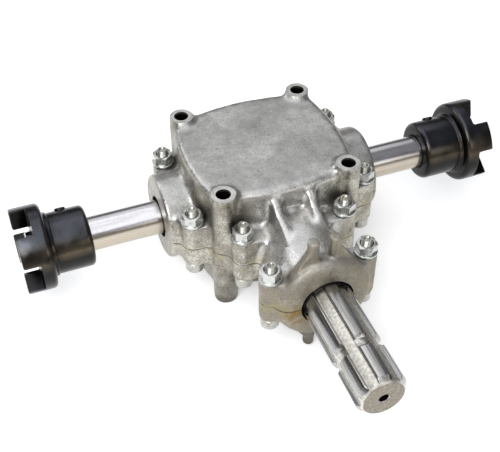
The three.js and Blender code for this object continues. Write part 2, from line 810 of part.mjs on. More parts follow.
// A rod standing across the shaft along -Y, `from` to `to` away from the axis.
function acrossRod(radius, from, to, x) {
  return move(latheY(rod(radius, -to, -from), 16), x, 0, 0);
}

function setScrew() {
  const top = HUB_R + 1.3;
  const screw = acrossRod(3.95, SHAFT_R + 3.2 + GAP, top, SCREW_FROM_MIDDLE);
  const socket = new THREE.CylinderGeometry(2.3, 2.3, 6, 6).translate(SCREW_FROM_MIDDLE, -top, 0);
  return turnX(screw.subtract(solid(socket)), COUPLING_KEY.angle);
}

const crossKey = (key) => turnX(keyBar(8, SHAFT_R - 4, SHAFT_R + 3, key.from, key.to), key.angle);

// ---------------------------------------------------------------- the gearbox

function build() {
  const root = new THREE.Group();
  root.name = 'right_angle_bevel_gearbox';
  const add = (name, shape, look) => root.add(piece(name, shape, look));

  const halves = caseHalves();
  add('upper_case', halves.upper, castAluminium());
  add('lower_case', halves.lower, castAluminium());

  add('cross_shaft', crossShaft(), groundSteel());
  add('pto_shaft', ptoShaft(), groundSteel());

  const halfPitch = 180 / TEETH;
  add('cross_shaft_bevel_gear', bevelGear(SHAFT_R, 21, 50.4, 0, GEAR_KEY.angle), gearSteel());
  add('pto_shaft_bevel_gear', alongY(bevelGear(PTO_R, 21, 41.6, halfPitch, 0)), gearSteel());
  add('cross_gear_key', crossKey(GEAR_KEY), gearSteel());
  add('pto_gear_key', alongY(keyBar(8, PTO_R - 4, PTO_R + 3, PINION_KEY.from, PINION_KEY.to)), gearSteel());

  const bearings = {
    left_bearing: [CROSS_BEARING, mirrorX],
    right_bearing: [CROSS_BEARING, (shape) => shape],
    nose_bearing: [FRONT_BEARING, alongY],
    inner_bearing: [REAR_BEARING, alongY],
  };
  for (const [name, [bearing, place]] of Object.entries(bearings)) {
    const races = raceProfiles(bearing);
    add(`${name}_inner_race`, place(latheX(races.inner, 18)), bearingSteel());
    add(`${name}_outer_race`, place(latheX(races.outer, 18)), bearingSteel());
    add(`${name}_balls`, place(ballCage(bearing)), bearingSteel());
  }

  const crossSeal = latheX(sealProfile(CROSS_SEAL), 20);
  add('left_oil_seal', mirrorX(crossSeal), sealRubber());
  add('right_oil_seal', crossSeal, sealRubber());
  add('nose_oil_seal', alongY(latheX(sealProfile(NOSE_SEAL), 20)), sealRubber());

  const clip = circlip(SHAFT_R, CIRCLIP_AT);
  add('left_circlip', mirrorX(clip), gearSteel());
  add('right_circlip', clip, gearSteel());
  add('pto_circlip', alongY(circlip(PTO_R, PINION_CLIP_AT)), gearSteel());
  add('cross_spacer', latheX(spacer(SHAFT_R, 15.6, -CROSS_BEARING.at, 27.5), 20), gearSteel());
  const betweenBearings = spacer(PTO_R, 18, REAR_BEARING.at + REAR_BEARING.width, FRONT_BEARING.at);
  add('pto_spacer', alongY(latheX(betweenBearings, 20)), gearSteel());

  const onShaft = (shape) => move(shape, SHAFT_SHIFT, 0, 0);
  const ends = { left: (shape) => onShaft(mirrorX(shape)), right: onShaft };
  for (const [side, place] of Object.entries(ends)) {
    add(`${side}_coupling`, place(coupling()), blackOxide());
    add(`${side}_coupling_key`, place(crossKey(COUPLING_KEY)), gearSteel());
    add(`${side}_coupling_set_screw`, place(setScrew()), blackOxide());
  }

  for (const [place, xy] of Object.entries(boltPlaces)) {
    add(`bolt_${place}`, bolt(xy), zincPlate());
    add(`nut_${place}`, nut(xy), zincPlate());
  }

  const bounds = new THREE.Box3().setFromObject(root);
  root.position.set(
    -(bounds.min.x + bounds.max.x) / 2,
    -(bounds.min.y + bounds.max.y) / 2,
    -bounds.min.z,
  );
  root.updateMatrixWorld(true);
  return root;
}

export default build();
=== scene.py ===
"""Looks of the right angle bevel gearbox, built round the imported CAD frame.

Shapes are drawn in millimetres about the point where the two shaft axes cross: +X runs along the
cross shaft, -Y along the splined shaft and +Z is up. mesh_object() turns them into metres in the
frame. Angles about the cross shaft are counted from -Y towards +Z.
"""

import math

import bmesh
import bpy
import numpy as np
from mathutils import Matrix, Vector, noise


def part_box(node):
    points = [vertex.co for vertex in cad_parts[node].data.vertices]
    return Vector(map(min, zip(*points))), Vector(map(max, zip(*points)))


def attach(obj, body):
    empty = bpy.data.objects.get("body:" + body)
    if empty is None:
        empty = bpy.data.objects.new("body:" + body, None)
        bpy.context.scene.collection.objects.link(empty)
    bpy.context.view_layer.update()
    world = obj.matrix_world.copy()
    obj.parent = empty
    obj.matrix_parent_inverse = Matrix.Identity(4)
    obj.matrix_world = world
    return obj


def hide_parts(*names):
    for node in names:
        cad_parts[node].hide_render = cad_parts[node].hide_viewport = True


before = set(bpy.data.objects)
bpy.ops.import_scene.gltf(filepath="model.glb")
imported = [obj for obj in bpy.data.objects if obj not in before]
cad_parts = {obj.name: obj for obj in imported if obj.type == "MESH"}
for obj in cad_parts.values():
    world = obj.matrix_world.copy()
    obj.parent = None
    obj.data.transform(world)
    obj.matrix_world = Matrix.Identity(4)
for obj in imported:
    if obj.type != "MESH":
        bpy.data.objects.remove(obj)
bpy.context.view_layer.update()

MM = 0.001
TAU = 2 * math.pi

# ---------------------------------------------------------------- sizes, in millimetres

# the axes cross in the middle of the splined shaft's width and of the cross shaft's height and depth
CROSS_BOX = [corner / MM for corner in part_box("cross_shaft")]
PTO_BOX = [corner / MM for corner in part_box("pto_shaft")]
CENTRE = Vector((
    (PTO_BOX[0].x + PTO_BOX[1].x) / 2,
    (CROSS_BOX[0].y + CROSS_BOX[1].y) / 2,
    (CROSS_BOX[0].z + CROSS_BOX[1].z) / 2,
))

SPLIT_GAP = 0.15
POST_AT = 46
POST_R = 9
POST_HOLE_R = 5.25
POST_TOP = 48.8
POST_BOTTOM = -50
ROOF_Z = 46
FLOOR_Z = -43
WALL_X = 60
WALL_Y = 55
WALL = 4.5
WALL_CORNER = 42
BOW = 5
CAVITY_X = 50.6
CAVITY_FRONT = 41.7
LUG_TOP = 19.5
LUG_BOTTOM = -16.7
LUG_R = 8

SHAFT_R = 12.5
SHAFT_LEFT = CROSS_BOX[0].x - CENTRE.x
SHAFT_RIGHT = CROSS_BOX[1].x - CENTRE.x
SHAFT_SHIFT = (SHAFT_LEFT + SHAFT_RIGHT) / 2
COLLAR_R = 31.2
COLLAR_END = 80.5
COLLAR_OPENING_R = 15.5
BEARING_SEAT_R = 26.5
CROSS_SEAL = (69, 76)
GEAR_KEY = (29.5, 48.5)
GEAR_KEY_ANGLE = 60
CROSS_CLIP_AT = 66.5

SPLINE_R = 17.4
SPLINE_ROOT_R = 14.8
SPLINE_TOOTH = 8.7
SPLINE_PHASE = 88
SPLINE_START = 118
SPLINE_END = 203
RUN_OUT = 4
RUN_OUT_START = SPLINE_START - 2.5
LOCK_GROOVE_AT = 168.7
LOCK_GROOVE_W = 9.8
LOCK_GROOVE_FLAT = 5.2
END_BEVEL = 5
PTO_R = 15
PTO_INNER_END = 22
PTO_SHOULDER = 104.9
PTO_SEAT_R = 28
PTO_INNER_SEAT = (38, 55.3)
PTO_OUTER_SEAT = 91.2
PINION_KEY = (27.8, 40.8)
PINION_CLIP_AT = 25.4
NECK_R = 29.7
NECK_INNER_R = 24
NOSE_R = 34
NOSE_BACK = 106
NOSE_BACK_R = 31
NOSE_EDGE = 114.5
NOSE_FACE = 120
NOSE_OPENING_R = 18.9
NOSE_SEAL = (106, 113)
RIB_AT = (-11.5, 14.5)
RIB_FADE = (88, 78)
RIB_T = 6.4
PRONG_X = 7.6
PRONG_Y = 109
PRONG_R = 4.2
PRONG_TOP = 49.5

BOLT_R = 4
NUT_FLATS = 13
WASHER_R = 8
WASHER_H = 1.6
NUT_H = 6.5
BOLT_TOP = 31.8
BOLT_HEAD_R = 6.5
BOLT_HEAD_H = 8
GAP = 0.3

KEY_W = 8
KEY_DEEP = 4
CIRCLIP_T = 1.2
CIRCLIP_DEEP = 0.9
CIRCLIP_PLAY = 0.2

HUB_R = 22.1
HUB_START = 130.2
FLANGE_START = 159.6
FLANGE_R = 30.8
JAW_START = 168.9
JAW_END = 181
JAW_INNER_R = 17
JAW_ANGLE = 41
JAW_PHASE = 39
COUPLING_KEY = (133, 158)
SCREW_AT = 146
SCREW_ANGLE = 129  # the coupling keys lie at the same angle

VOXEL = 0.9  # grid on which the casting is blended together


def node_centre(node):
    low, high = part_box(node)
    middle = (low + high) / (2 * MM) - CENTRE
    return middle.x, middle.y


BOLTS = {
    name[len("bolt_"):]: node_centre(name)
    for name in sorted(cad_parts)
    if name.startswith("bolt_")
}

# ---------------------------------------------------------------- mesh helpers


def mesh_object(name, points, faces):
    """A closed mesh from millimetre points, doubled points merged and normals turned outwards."""
    mesh = bpy.data.meshes.new(name)
    bm = bmesh.new()
    corners = [bm.verts.new((CENTRE + Vector(p)) * MM) for p in points]
    for face in faces:
        bm.faces.new([corners[i] for i in face])
    bmesh.ops.remove_doubles(bm, verts=bm.verts, dist=1e-7)
    bmesh.ops.dissolve_degenerate(bm, edges=bm.edges, dist=1e-8)
    bmesh.ops.recalc_face_normals(bm, faces=bm.faces)
    bm.to_mesh(mesh)
    bm.free()
    made = bpy.data.objects.new(name, mesh)
    bpy.context.scene.collection.objects.link(made)
    return made


def skin(rings, closed):
    """Points and faces over a stack of equally long rings. An open stack gets a flat end at each end."""
    count = len(rings[0])
    points = [p for ring in rings for p in ring]
    faces = []
    spans = len(rings) if closed else len(rings) - 1
    for k in range(spans):
        a = k * count
        b = ((k + 1) % len(rings)) * count
        for i in range(count):
            j = (i + 1) % count
            faces.append((a + i, a + j, b + j, b + i))
    if not closed:
        faces.append(tuple(range(count)))
        faces.append(tuple(range((len(rings) - 1) * count, len(rings) * count)))
    return points, faces


def on_axis(axis, radius, angle, along):
    """A point at radius and angle about an axis through the middle."""
    a = radius * math.cos(angle)
    b = radius * math.sin(angle)
    return {"x": (along, -a, b), "y": (a, along, b), "z": (a, b, along)}[axis]


def lathe(name, profile, axis, segments=96, shift=(0, 0, 0)):
    """Turned solid. The profile is a list of (radius, distance along the axis), closed if it never
    reaches the axis."""
    closed = min(radius for radius, _ in profile) > 1e-6
    rings = []
    for radius, along in profile:
        ring = [on_axis(axis, radius, TAU * i / segments, along) for i in range(segments)]
        rings.append([tuple(c + s for c, s in zip(p, shift)) for p in ring])
    return mesh_object(name, *skin(rings, closed))


def rounded(points, steps=5, closed=False):
    """A path of (x, y, fillet radius) corners as plain (x, y) points with the corners rounded."""
    out = []
    count = len(points)
    for i, (x, y, radius) in enumerate(points):
        here = Vector((x, y))
        if radius <= 0 or (not closed and i in (0, count - 1)):
            out.append((x, y))
            continue
        before = Vector(points[i - 1][:2]) - here
        after = Vector(points[(i + 1) % count][:2]) - here
        half = before.angle(after) / 2
        reach = min(radius / math.tan(half), 0.49 * before.length, 0.49 * after.length)
        radius = reach * math.tan(half)
        start = here + before.normalized() * reach
        end = here + after.normalized() * reach
        middle = here + (before.normalized() + after.normalized()).normalized() * (radius / math.sin(half))
        turn = (start - middle).angle_signed(end - middle)
        for k in range(steps + 1):
            arm = start - middle
            arm.rotate(Matrix.Rotation(-turn * k / steps, 2))
            out.append(tuple(middle + arm))
    return out


def rod(radius, low, high):
    return [(0, low), (radius, low), (radius, high), (0, high)]


def prism(name, outline, low, high):
    """A flat outline in x and y pushed from low to high along z."""
    rings = [[(x, y, z) for x, y in outline] for z in (low, high)]
    return mesh_object(name, *skin(rings, False))


def upright(name, outline, low, high):
    """A flat outline in y and z pushed from low to high along x."""
    rings = [[(x, y, z) for y, z in outline] for x in (low, high)]
    return mesh_object(name, *skin(rings, False))


def block(name, low, high):
    x0, y0, z0 = low
    x1, y1, z1 = high
    return prism(name, [(x0, y0), (x1, y0), (x1, y1), (x0, y1)], z0, z1)


def apply_modifiers(target):
    graph = bpy.context.evaluated_depsgraph_get()
    mesh = bpy.data.meshes.new_from_object(target.evaluated_get(graph))
    target.modifiers.clear()
    target.data = mesh


def boolean(target, tool, operation):
    """Cuts, joins or intersects target with tool, which is then removed."""
    modifier = target.modifiers.new("cut", "BOOLEAN")
    modifier.operation = operation
    modifier.solver = "MANIFOLD"
    modifier.object = tool
    apply_modifiers(target)
    bpy.data.objects.remove(tool)


def join(name, parts):
    """One object that holds the meshes of all the parts."""
    bm = bmesh.new()
    for part in parts:
        bm.from_mesh(part.data)
        bpy.data.objects.remove(part)
    mesh = bpy.data.meshes.new(name)
    bm.to_mesh(mesh)
    bm.free()
    made = bpy.data.objects.new(name, mesh)
    bpy.context.scene.collection.objects.link(made)
    return made


def remesh(target, voxel):
    modifier = target.modifiers.new("voxels", "REMESH")
    modifier.mode = "VOXEL"
    modifier.voxel_size = voxel * MM
    apply_modifiers(target)


def relax(target, factor, rounds):
    modifier = target.modifiers.new("relax", "SMOOTH")
    modifier.factor = factor
    modifier.iterations = rounds
    apply_modifiers(target)


def smooth_shade(target, degrees):
    target.data.shade_smooth()
    target.data.set_sharp_from_angle(angle=math.radians(degrees))


def finish_piece(target, body, material, nodes=(), degrees=32):
    smooth_shade(target, degrees)
    target.data.materials.clear()
    target.data.materials.append(material)
    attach(target, body)
    if nodes:
        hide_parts(*nodes)
    return target


# ---------------------------------------------------------------- materials


class Shader:
    """A node material with a Principled surface and short ways to add to it."""

    def __init__(self, name, **sockets):
        self.material = bpy.data.materials.new(name)
        self.material.use_nodes = True
        self.tree = self.material.node_tree
        self.surface = self.tree.nodes["Principled BSDF"]
        for socket, value in sockets.items():
            self.surface.inputs[socket.replace("_", " ")].default_value = value
        self.place = self.add("TexCoord").outputs["Object"]

    def add(self, kind, **settings):
        node = self.tree.nodes.new("ShaderNode" + kind)
        for key, value in settings.items():
            setattr(node, key, value)
        return node

    def link(self, value, socket):
        """Feeds a socket with another socket or with a constant."""
        if isinstance(value, bpy.types.NodeSocket):
            self.tree.links.new(value, socket)
        else:
            socket.default_value = value

    def noise(self, size, detail=4, rough=0.55, stretch=(1, 1, 1), distort=0.0):
        """Noise whose features are about `size` millimetres across."""
        scaled = self.add("Mapping")
        self.link(self.place, scaled.inputs["Vector"])
        scaled.inputs["Scale"].default_value = [1 / (s * size * MM) for s in stretch]
        node = self.add("TexNoise")
        self.link(scaled.outputs["Vector"], node.inputs["Vector"])
        node.inputs["Scale"].default_value = 1
        node.inputs["Detail"].default_value = detail
        node.inputs["Roughness"].default_value = rough
        node.inputs["Distortion"].default_value = distort
        return node.outputs["Fac"]

    def spots(self, size):
        """Distance to the nearest of scattered points about `size` millimetres apart."""
        node = self.add("TexVoronoi")
        self.link(self.place, node.inputs["Vector"])
        node.inputs["Scale"].default_value = 1 / (size * MM)
        return node.outputs["Distance"]

    def math(self, operation, a, b=0.0):
        node = self.add("Math", operation=operation)
        self.link(a, node.inputs[0])
        self.link(b, node.inputs[1])
        return node.outputs[0]

    def fold(self, operation, values):
        result = values[0]
        for value in values[1:]:
            result = self.math(operation, result, value)
        return result

    def product(self, *values):
        return self.fold("MULTIPLY", values)

    def largest(self, *values):
        return self.fold("MAXIMUM", values)

    def total(self, *terms):
        """Sum of (value, weight) terms."""
        return self.fold("ADD", [self.product(value, weight) for value, weight in terms])

    def length(self, a, b):
        """Length of the flat vector (a, b)."""
        return self.math("SQRT", self.total((a, a), (b, b)))

    def span(self, value, low, high, to_low=0.0, to_high=1.0):
        """The value stretched from low..high to to_low..to_high and held there."""
        node = self.add("MapRange")
        self.link(value, node.inputs["Value"])
        node.inputs["From Min"].default_value = low
        node.inputs["From Max"].default_value = high
        node.inputs["To Min"].default_value = to_low
        node.inputs["To Max"].default_value = to_high
        return node.outputs["Result"]

    def mix(self, amount, a, b):
        node = self.add("Mix", data_type="RGBA")
        self.link(amount, node.inputs[0])
        self.link(a, node.inputs[6])
        self.link(b, node.inputs[7])
        return node.outputs[2]

    def cover(self, base, colour, *masks):
        """The base colour painted over with another one by the product of the masks."""
        return self.mix(self.product(*masks), base, (*colour, 1))

    def ramp(self, value, stops):
        node = self.add("ValToRGB")
        self.link(value, node.inputs["Fac"])
        elements = node.color_ramp.elements
        while len(elements) < len(stops):
            elements.new(0.5)
        for element, (position, colour) in zip(elements, stops):
            element.position = position
            element.color = (*colour, 1)
        return node.outputs["Color"]

    def bump(self, height, depth, strength=1.0, after=None):
        """Bump `depth` millimetres deep."""
        node = self.add("Bump")
        node.inputs["Strength"].default_value = strength
        node.inputs["Distance"].default_value = depth * MM
        self.link(height, node.inputs["Height"])
        if after is not None:
            self.link(after, node.inputs["Normal"])
        return node.outputs["Normal"]

    def axis_part(self, index):
        """How far along x, y or z, in millimetres from where the shaft axes cross."""
        node = self.add("SeparateXYZ")
        self.link(self.place, node.inputs[0])
        metres = self.math("SUBTRACT", node.outputs[index], CENTRE[index] * MM)
        return self.math("MULTIPLY", metres, 1 / MM)

    def face_part(self, index):
        """How far the face points along x, y or z, from -1 to 1."""
        node = self.add("SeparateXYZ")
        self.link(self.add("NewGeometry").outputs["Normal"], node.inputs[0])
        return node.outputs[index]

    def edges(self, low, high):
        """1 on outer edges, 0 on flat faces and in corners."""
        return self.span(self.add("NewGeometry").outputs["Pointiness"], low, high)

    def near(self, point, reach):
        """1 at a point, falling to 0 `reach` millimetres away."""
        node = self.add("VectorMath", operation="DISTANCE")
        self.link(self.place, node.inputs[0])
        node.inputs[1].default_value = (CENTRE + Vector(point)) * MM
        return self.span(node.outputs["Value"], 0, reach * MM, 1, 0)

    def corner_shade(self, reach):
        """1 on open faces, falling to 0 in corners less than `reach` millimetres deep: ambient occlusion,
        used for painted shade in corners.
        """
        node = self.add("AmbientOcclusion")
        node.samples = 8
        node.inputs["Distance"].default_value = reach * MM
        return node.outputs["AO"]

    def colour(self, value):
        self.link(value, self.surface.inputs["Base Color"])

    def roughness(self, value):
        self.link(value, self.surface.inputs["Roughness"])

    def normal(self, value):
        self.link(value, self.surface.inputs["Normal"])


def cast_aluminium():
    """Sand-rough casting, its neck and the front wall above it smoother than the rest, with painted light
    making them brighter.
    """
    s = Shader("cast_aluminium", Metallic=0.85)
    patches = s.noise(8, 5, 0.6)
    grain = s.noise(1.3, 5, 0.7)
    neck = s.product(
        s.span(s.axis_part(1), -46, -54),
        s.span(s.axis_part(1), -106, -100),
        s.span(s.axis_part(2), 4, 14),
        s.span(s.math("ABSOLUTE", s.axis_part(0)), 38, 28),
    )
    nose = s.span(s.axis_part(1), -100, -107)
    # Painted light: the neck and the front wall above it are lightened to stand in for highlights.
    base = s.cover(cast_metal_with_wall_shade(s, patches, grain), (0.66, 0.655, 0.64), neck, 0.5)
    base = cast_wear_sheen_and_shade(s, base)
    base = s.cover(base, (0.25, 0.215, 0.155), nose, s.span(patches, 0.4, 0.6, 0.2, 0.75))
    s.colour(cast_stains_and_shade(s, base, patches))
    wear = s.total((grain, 0.4), (patches, 0.6))
    s.roughness(s.total((s.span(wear, 0.35, 0.65, 0.24, 0.47), 1), (nose, 0.2), (neck, -0.06)))
    pits = s.bump(s.span(s.spots(3.1), 0.0, 0.3), 0.16, 0.6)
    s.normal(s.bump(s.noise(1.1, 5, 0.65), 0.22, 0.6, s.bump(s.noise(5, 4), 0.14, 0.6, pits)))
    return s.material


def cast_metal_with_wall_shade(s, patches, grain):
    """Mottled grey; upright walls yellower, and darker as painted shade."""
    shade = s.total((s.noise(34, 4, 0.55), 0.3), (patches, 0.3), (grain, 0.4))
    flat = s.ramp(shade, [
        (0.36, (0.29, 0.287, 0.277)), (0.5, (0.43, 0.427, 0.413)), (0.6, (0.62, 0.615, 0.59)),
    ])
    # Painted shade: the tone for upright walls is a darker, yellower copy of the flat one.
    wall = s.ramp(shade, [
        (0.36, (0.11, 0.098, 0.075)), (0.5, (0.32, 0.298, 0.25)), (0.61, (0.66, 0.635, 0.57)),
    ])
    return s.mix(s.span(s.math("ABSOLUTE", s.face_part(2)), 0.3, 0.85, 1, 0), flat, wall)


def cast_wear_sheen_and_shade(s, base):
    """Edges lightened as rubbed wear and as painted highlight, sand specks, and painted shade darkening the
    corners.
    """
    # Edges lightened: partly rubbed wear, partly a painted highlight along the fillets.
    base = s.cover(base, (0.8, 0.79, 0.75), s.edges(0.51, 0.56), 0.55)
    specks = s.product(s.span(s.spots(2.1), 0.05, 0.25, 1, 0), s.span(s.noise(12, 3), 0.42, 0.6))
    base = s.cover(base, (0.07, 0.062, 0.05), specks, 0.85)
    # Painted shade: corners darkened by ambient occlusion.
    return s.cover(base, (0.05, 0.043, 0.033), s.span(s.corner_shade(11), 0.25, 0.88, 1, 0))


def cast_stains_and_shade(s, base, patches):
    """Sealant squeezed out along the joint, a rusty run under the nose, a dark joint line, painted shade
    darkening the underside, and painted shade on the unlit walls of the post holes."""
    off_joint = s.math("ABSOLUTE", s.axis_part(2))
    blotches = s.span(s.noise(9, 3, 0.6), 0.47, 0.6)
    base = s.cover(base, (0.36, 0.31, 0.12), s.span(off_joint, 0.5, 8, 1, 0), blotches, 0.55)
    run = s.near((-22, -NOSE_FACE, -5), 15)
    base = s.cover(base, (0.24, 0.16, 0.055), run, s.span(s.noise(6, 4), 0.4, 0.56), 1.3)
    joint_line = s.product(s.span(off_joint, 0.3, 0.9, 0.8, 0), s.span(patches, 0.4, 0.58, 0.15, 1))
    base = s.cover(base, (0.06, 0.05, 0.035), joint_line)
    # Painted shade: darker towards the bottom.
    base = s.cover(base, (0.09, 0.085, 0.075), s.span(s.axis_part(2), -14, -46, 0, 0.6))
    # Painted shade on the unlit walls of the post holes.
    return s.cover(base, (0.022, 0.019, 0.016), post_bore(s))


def post_bore(s):
    """1 on the unlit walls of the four post holes, 0 elsewhere."""
    across = [s.math("SUBTRACT", s.math("ABSOLUTE", s.axis_part(k)), POST_AT) for k in (0, 1)]
    inside = s.math("LESS_THAN", s.length(*across), POST_HOLE_R + 0.15)
    return s.product(inside, s.span(s.axis_part(2), POST_TOP - 2.5, POST_TOP - 0.5, 1, 0))


def machined_steel(name, tint, along, dull):
    """Ground or turned bar: fine rings across its axis, a painted reflection making it cooler on top and
    warmer below, faint staining, a bright gloss.
    """
    s = Shader(name, Metallic=1.0)
    ring_stretch = [40, 40, 40]
    ring_stretch[along] = 1
    rings = s.noise(0.5, 3, 0.6, ring_stretch)
    streak = [1, 1, 1]
    streak[along] = 9
    stain = s.noise(7, 4, 0.6, streak)
    # Painted reflection: warmer where the face points down, cooler where it points up.
    warm_reflection = tuple(c * k for c, k in zip(tint, (0.8, 0.73, 0.62)))
    cool_reflection = tuple(c * k for c, k in zip(tint, (1.02, 1.03, 1.1)))
    reflection_tone = s.mix(s.span(s.face_part(2), 0.45, 0.62), (*warm_reflection, 1), (*cool_reflection, 1))
    worn = s.span(s.total((stain, 0.7), (rings, 0.3)), 0.35, 0.5, 0.35, 0)
    s.colour(s.cover(reflection_tone, tuple(0.4 * c for c in warm_reflection), worn))
    s.roughness(s.span(stain, 0.3, 0.7, dull, dull + 0.06))
    s.normal(s.bump(rings, 0.004, 0.6))
    return s.material


def splined_steel():
    """Hobbed and ground shaft: bright lands, paler rough spline floors, a dull sawn end, and a dark,
    dull stretch from just outside the nose opening inwards."""
    s = Shader("splined_steel", Metallic=1.0)
    along = s.axis_part(1)
    radius = s.length(s.axis_part(0), s.axis_part(2))
    lengthwise = s.noise(1.2, 4, 0.6, (1, 25, 1))
    mottle = s.noise(2, 5, 0.7)
    land = s.ramp(lengthwise, [(0.35, (0.27, 0.265, 0.255)), (0.6, (0.44, 0.435, 0.425))])
    floor = s.ramp(mottle, [(0.35, (0.42, 0.4, 0.35)), (0.6, (0.72, 0.7, 0.64))])
    end = s.ramp(mottle, [(0.35, (0.2, 0.17, 0.135)), (0.62, (0.36, 0.33, 0.28))])
    in_floor = s.span(radius, SPLINE_ROOT_R + 0.15, SPLINE_ROOT_R + 0.5, 1, 0)
    at_end = s.math("LESS_THAN", along, -SPLINE_END + 0.2)
    # Darker and duller from just outside the nose opening inwards.
    into_nose = s.span(along, -NOSE_FACE - 2.5, -NOSE_FACE + 0.5)
    in_hole = s.span(along, -SPLINE_END + 0.3, -SPLINE_END + 1)
    base = s.mix(at_end, s.mix(in_floor, land, floor), end)
    base = s.cover(base, (0.012, 0.01, 0.008), into_nose, 0.94)
    # Painted shade on the walls of the centre hole.
    s.colour(s.cover(base, (0.03, 0.025, 0.02), s.math("LESS_THAN", radius, 4), in_hole))
    gloss = s.span(lengthwise, 0.3, 0.7, 0.17, 0.27)
    s.roughness(s.largest(gloss, s.product(in_floor, 0.42), s.product(at_end, 0.5), s.product(into_nose, 0.6)))
    s.normal(s.bump(mottle, 0.05, 0.5, s.bump(lengthwise, 0.02, 0.6)))
    return s.material


def gear_steel():
    s = Shader("gear_steel", Metallic=1.0)
    mottle = s.noise(8, 4)
    s.colour(s.ramp(mottle, [(0.35, (0.2, 0.19, 0.18)), (0.65, (0.42, 0.41, 0.4))]))
    s.roughness(s.span(mottle, 0.3, 0.7, 0.25, 0.42))
    s.normal(s.bump(s.noise(0.8, 3), 0.03, 0.5))
    return s.material


def black_oxide():
    """Blackened steel: painted reflection and shade, darkest facing down, browner part-way up and cooler on
    top; edges rubbed grey, partly as painted highlight; painted shade in its corners.
    """
    s = Shader("black_oxide", Metallic=0.9)
    mottle = s.noise(14, 3, 0.5)
    fine = s.noise(0.9, 4, 0.6)
    # Painted reflection and shade: the colour follows which way the face points.
    reflection_tone = s.ramp(s.face_part(2), [
        (0.05, (0.022, 0.021, 0.019)), (0.3, (0.1, 0.078, 0.052)), (0.52, (0.085, 0.072, 0.055)),
        (0.75, (0.058, 0.06, 0.07)),
    ])
    base = s.cover(reflection_tone, (0.02, 0.02, 0.021), s.span(mottle, 0.35, 0.6, 0.65, 0))
    off_middle = s.math("ABSOLUTE", s.math("SUBTRACT", s.axis_part(0), SHAFT_SHIFT))
    dogs = s.span(off_middle, JAW_START + 0.2, JAW_START + 1)
    unrubbed = s.span(s.length(s.axis_part(1), s.axis_part(2)), FLANGE_R - 1.2, FLANGE_R - 0.5, 1, 0)
    base = s.cover(base, (0.005, 0.005, 0.005), dogs, unrubbed, 0.85)
    end_face = s.span(s.math("ABSOLUTE", s.face_part(0)), 0.8, 0.97)
    base = s.cover(base, (0.006, 0.006, 0.006), end_face, 0.85)
    # Edges lightened: partly rubbed wear, partly a painted highlight.
    base = s.cover(base, (0.16, 0.155, 0.15), s.edges(0.53, 0.62), 0.35)
    # Painted shade: corners between the jaws and the hub darkened by ambient occlusion.
    base = s.cover(base, (0.004, 0.004, 0.004), s.span(s.corner_shade(22), 0.5, 0.9, 0.97, 0))
    s.colour(base)
    s.roughness(s.span(mottle, 0.3, 0.7, 0.2, 0.3))
    s.normal(s.bump(fine, 0.02, 0.5))
    return s.material


def zinc(name, tint, dull):
    """Bright zinc plate with a little yellow passivation and grey wear."""
    s = Shader(name, Metallic=0.95)
    cloud = s.noise(5, 4, 0.6)
    fine = s.noise(0.7, 3)
    yellow = tuple(c * k for c, k in zip(tint, (1.0, 0.93, 0.7)))
    dark = tuple(0.45 * c for c in tint)
    s.colour(s.ramp(cloud, [(0.3, dark), (0.45, tint), (0.62, tint), (0.75, yellow)]))
    s.roughness(s.span(fine, 0.3, 0.7, dull, dull + 0.16))
    s.normal(s.bump(fine, 0.03, 0.6))
    return s.material


def seal_rubber():
    s = Shader("seal_rubber", Metallic=0.0)
    mottle = s.noise(3, 4)
    s.colour(s.ramp(mottle, [(0.35, (0.008, 0.008, 0.009)), (0.7, (0.03, 0.028, 0.026))]))
    s.roughness(s.span(mottle, 0.3, 0.7, 0.5, 0.75))
    s.normal(s.bump(s.noise(0.6, 3), 0.03, 0.5))
    return s.material


# ---------------------------------------------------------------- the casting


def plan(half_x, half_y, corner, steps=14):
    """Plan outline of the case: four bowed sides joined by short corner flats behind the posts."""
    turns = [
        ((-corner, -half_y + BOW), (0, -half_y - BOW), (corner, -half_y + BOW)),
        ((half_x - BOW, -corner), (half_x + BOW, 0), (half_x - BOW, corner)),
        ((corner, half_y - BOW), (0, half_y + BOW), (-corner, half_y - BOW)),
        ((-half_x + BOW, corner), (-half_x - BOW, 0), (-half_x + BOW, -corner)),
    ]
    points = []
    for a, b, c in turns:
        for k in range(steps + 1):
            t = k / steps
            points.append(tuple(
                (1 - t) ** 2 * p + 2 * t * (1 - t) * q + t * t * r for p, q, r in zip(a, b, c)
            ))
    return points


def rim_levels(flat_z, radius, draft, steps=6):
    """(height, inset) levels of a quarter-round rim that ends at flat_z."""
    side = 1 if flat_z > 0 else -1
    turns = [math.pi / 2 * k / steps for k in range(steps + 1)]
    return sorted(
        (flat_z - side * radius * (1 - math.sin(t)), radius * (1 - math.cos(t)) + draft) for t in turns
    )


def case_middle():
    """The boxy middle, with rounded roof and floor edges and a little draft on its walls."""
    levels = rim_levels(FLOOR_Z, 6, 1.5) + [(0, 0)] + rim_levels(ROOF_Z, 5, 1.2)
    rings = []
    for z, inset in levels:
        outline = plan(WALL_X - inset, WALL_Y - inset, WALL_CORNER - 0.6 * inset)
        rings.append([(x, y, z) for x, y in outline])
    return mesh_object("case_middle", *skin(rings, False))


def arc(x, y, radius, start, end, steps=12):
    """Points on an arc, its angles in degrees."""
    angles = [math.radians(start + (end - start) * k / steps) for k in range(steps + 1)]
    return [(x + radius * math.cos(a), y + radius * math.sin(a)) for a in angles]


def flipped(outline, x=1, y=1):
    return [(x * a, y * b) for a, b in outline]


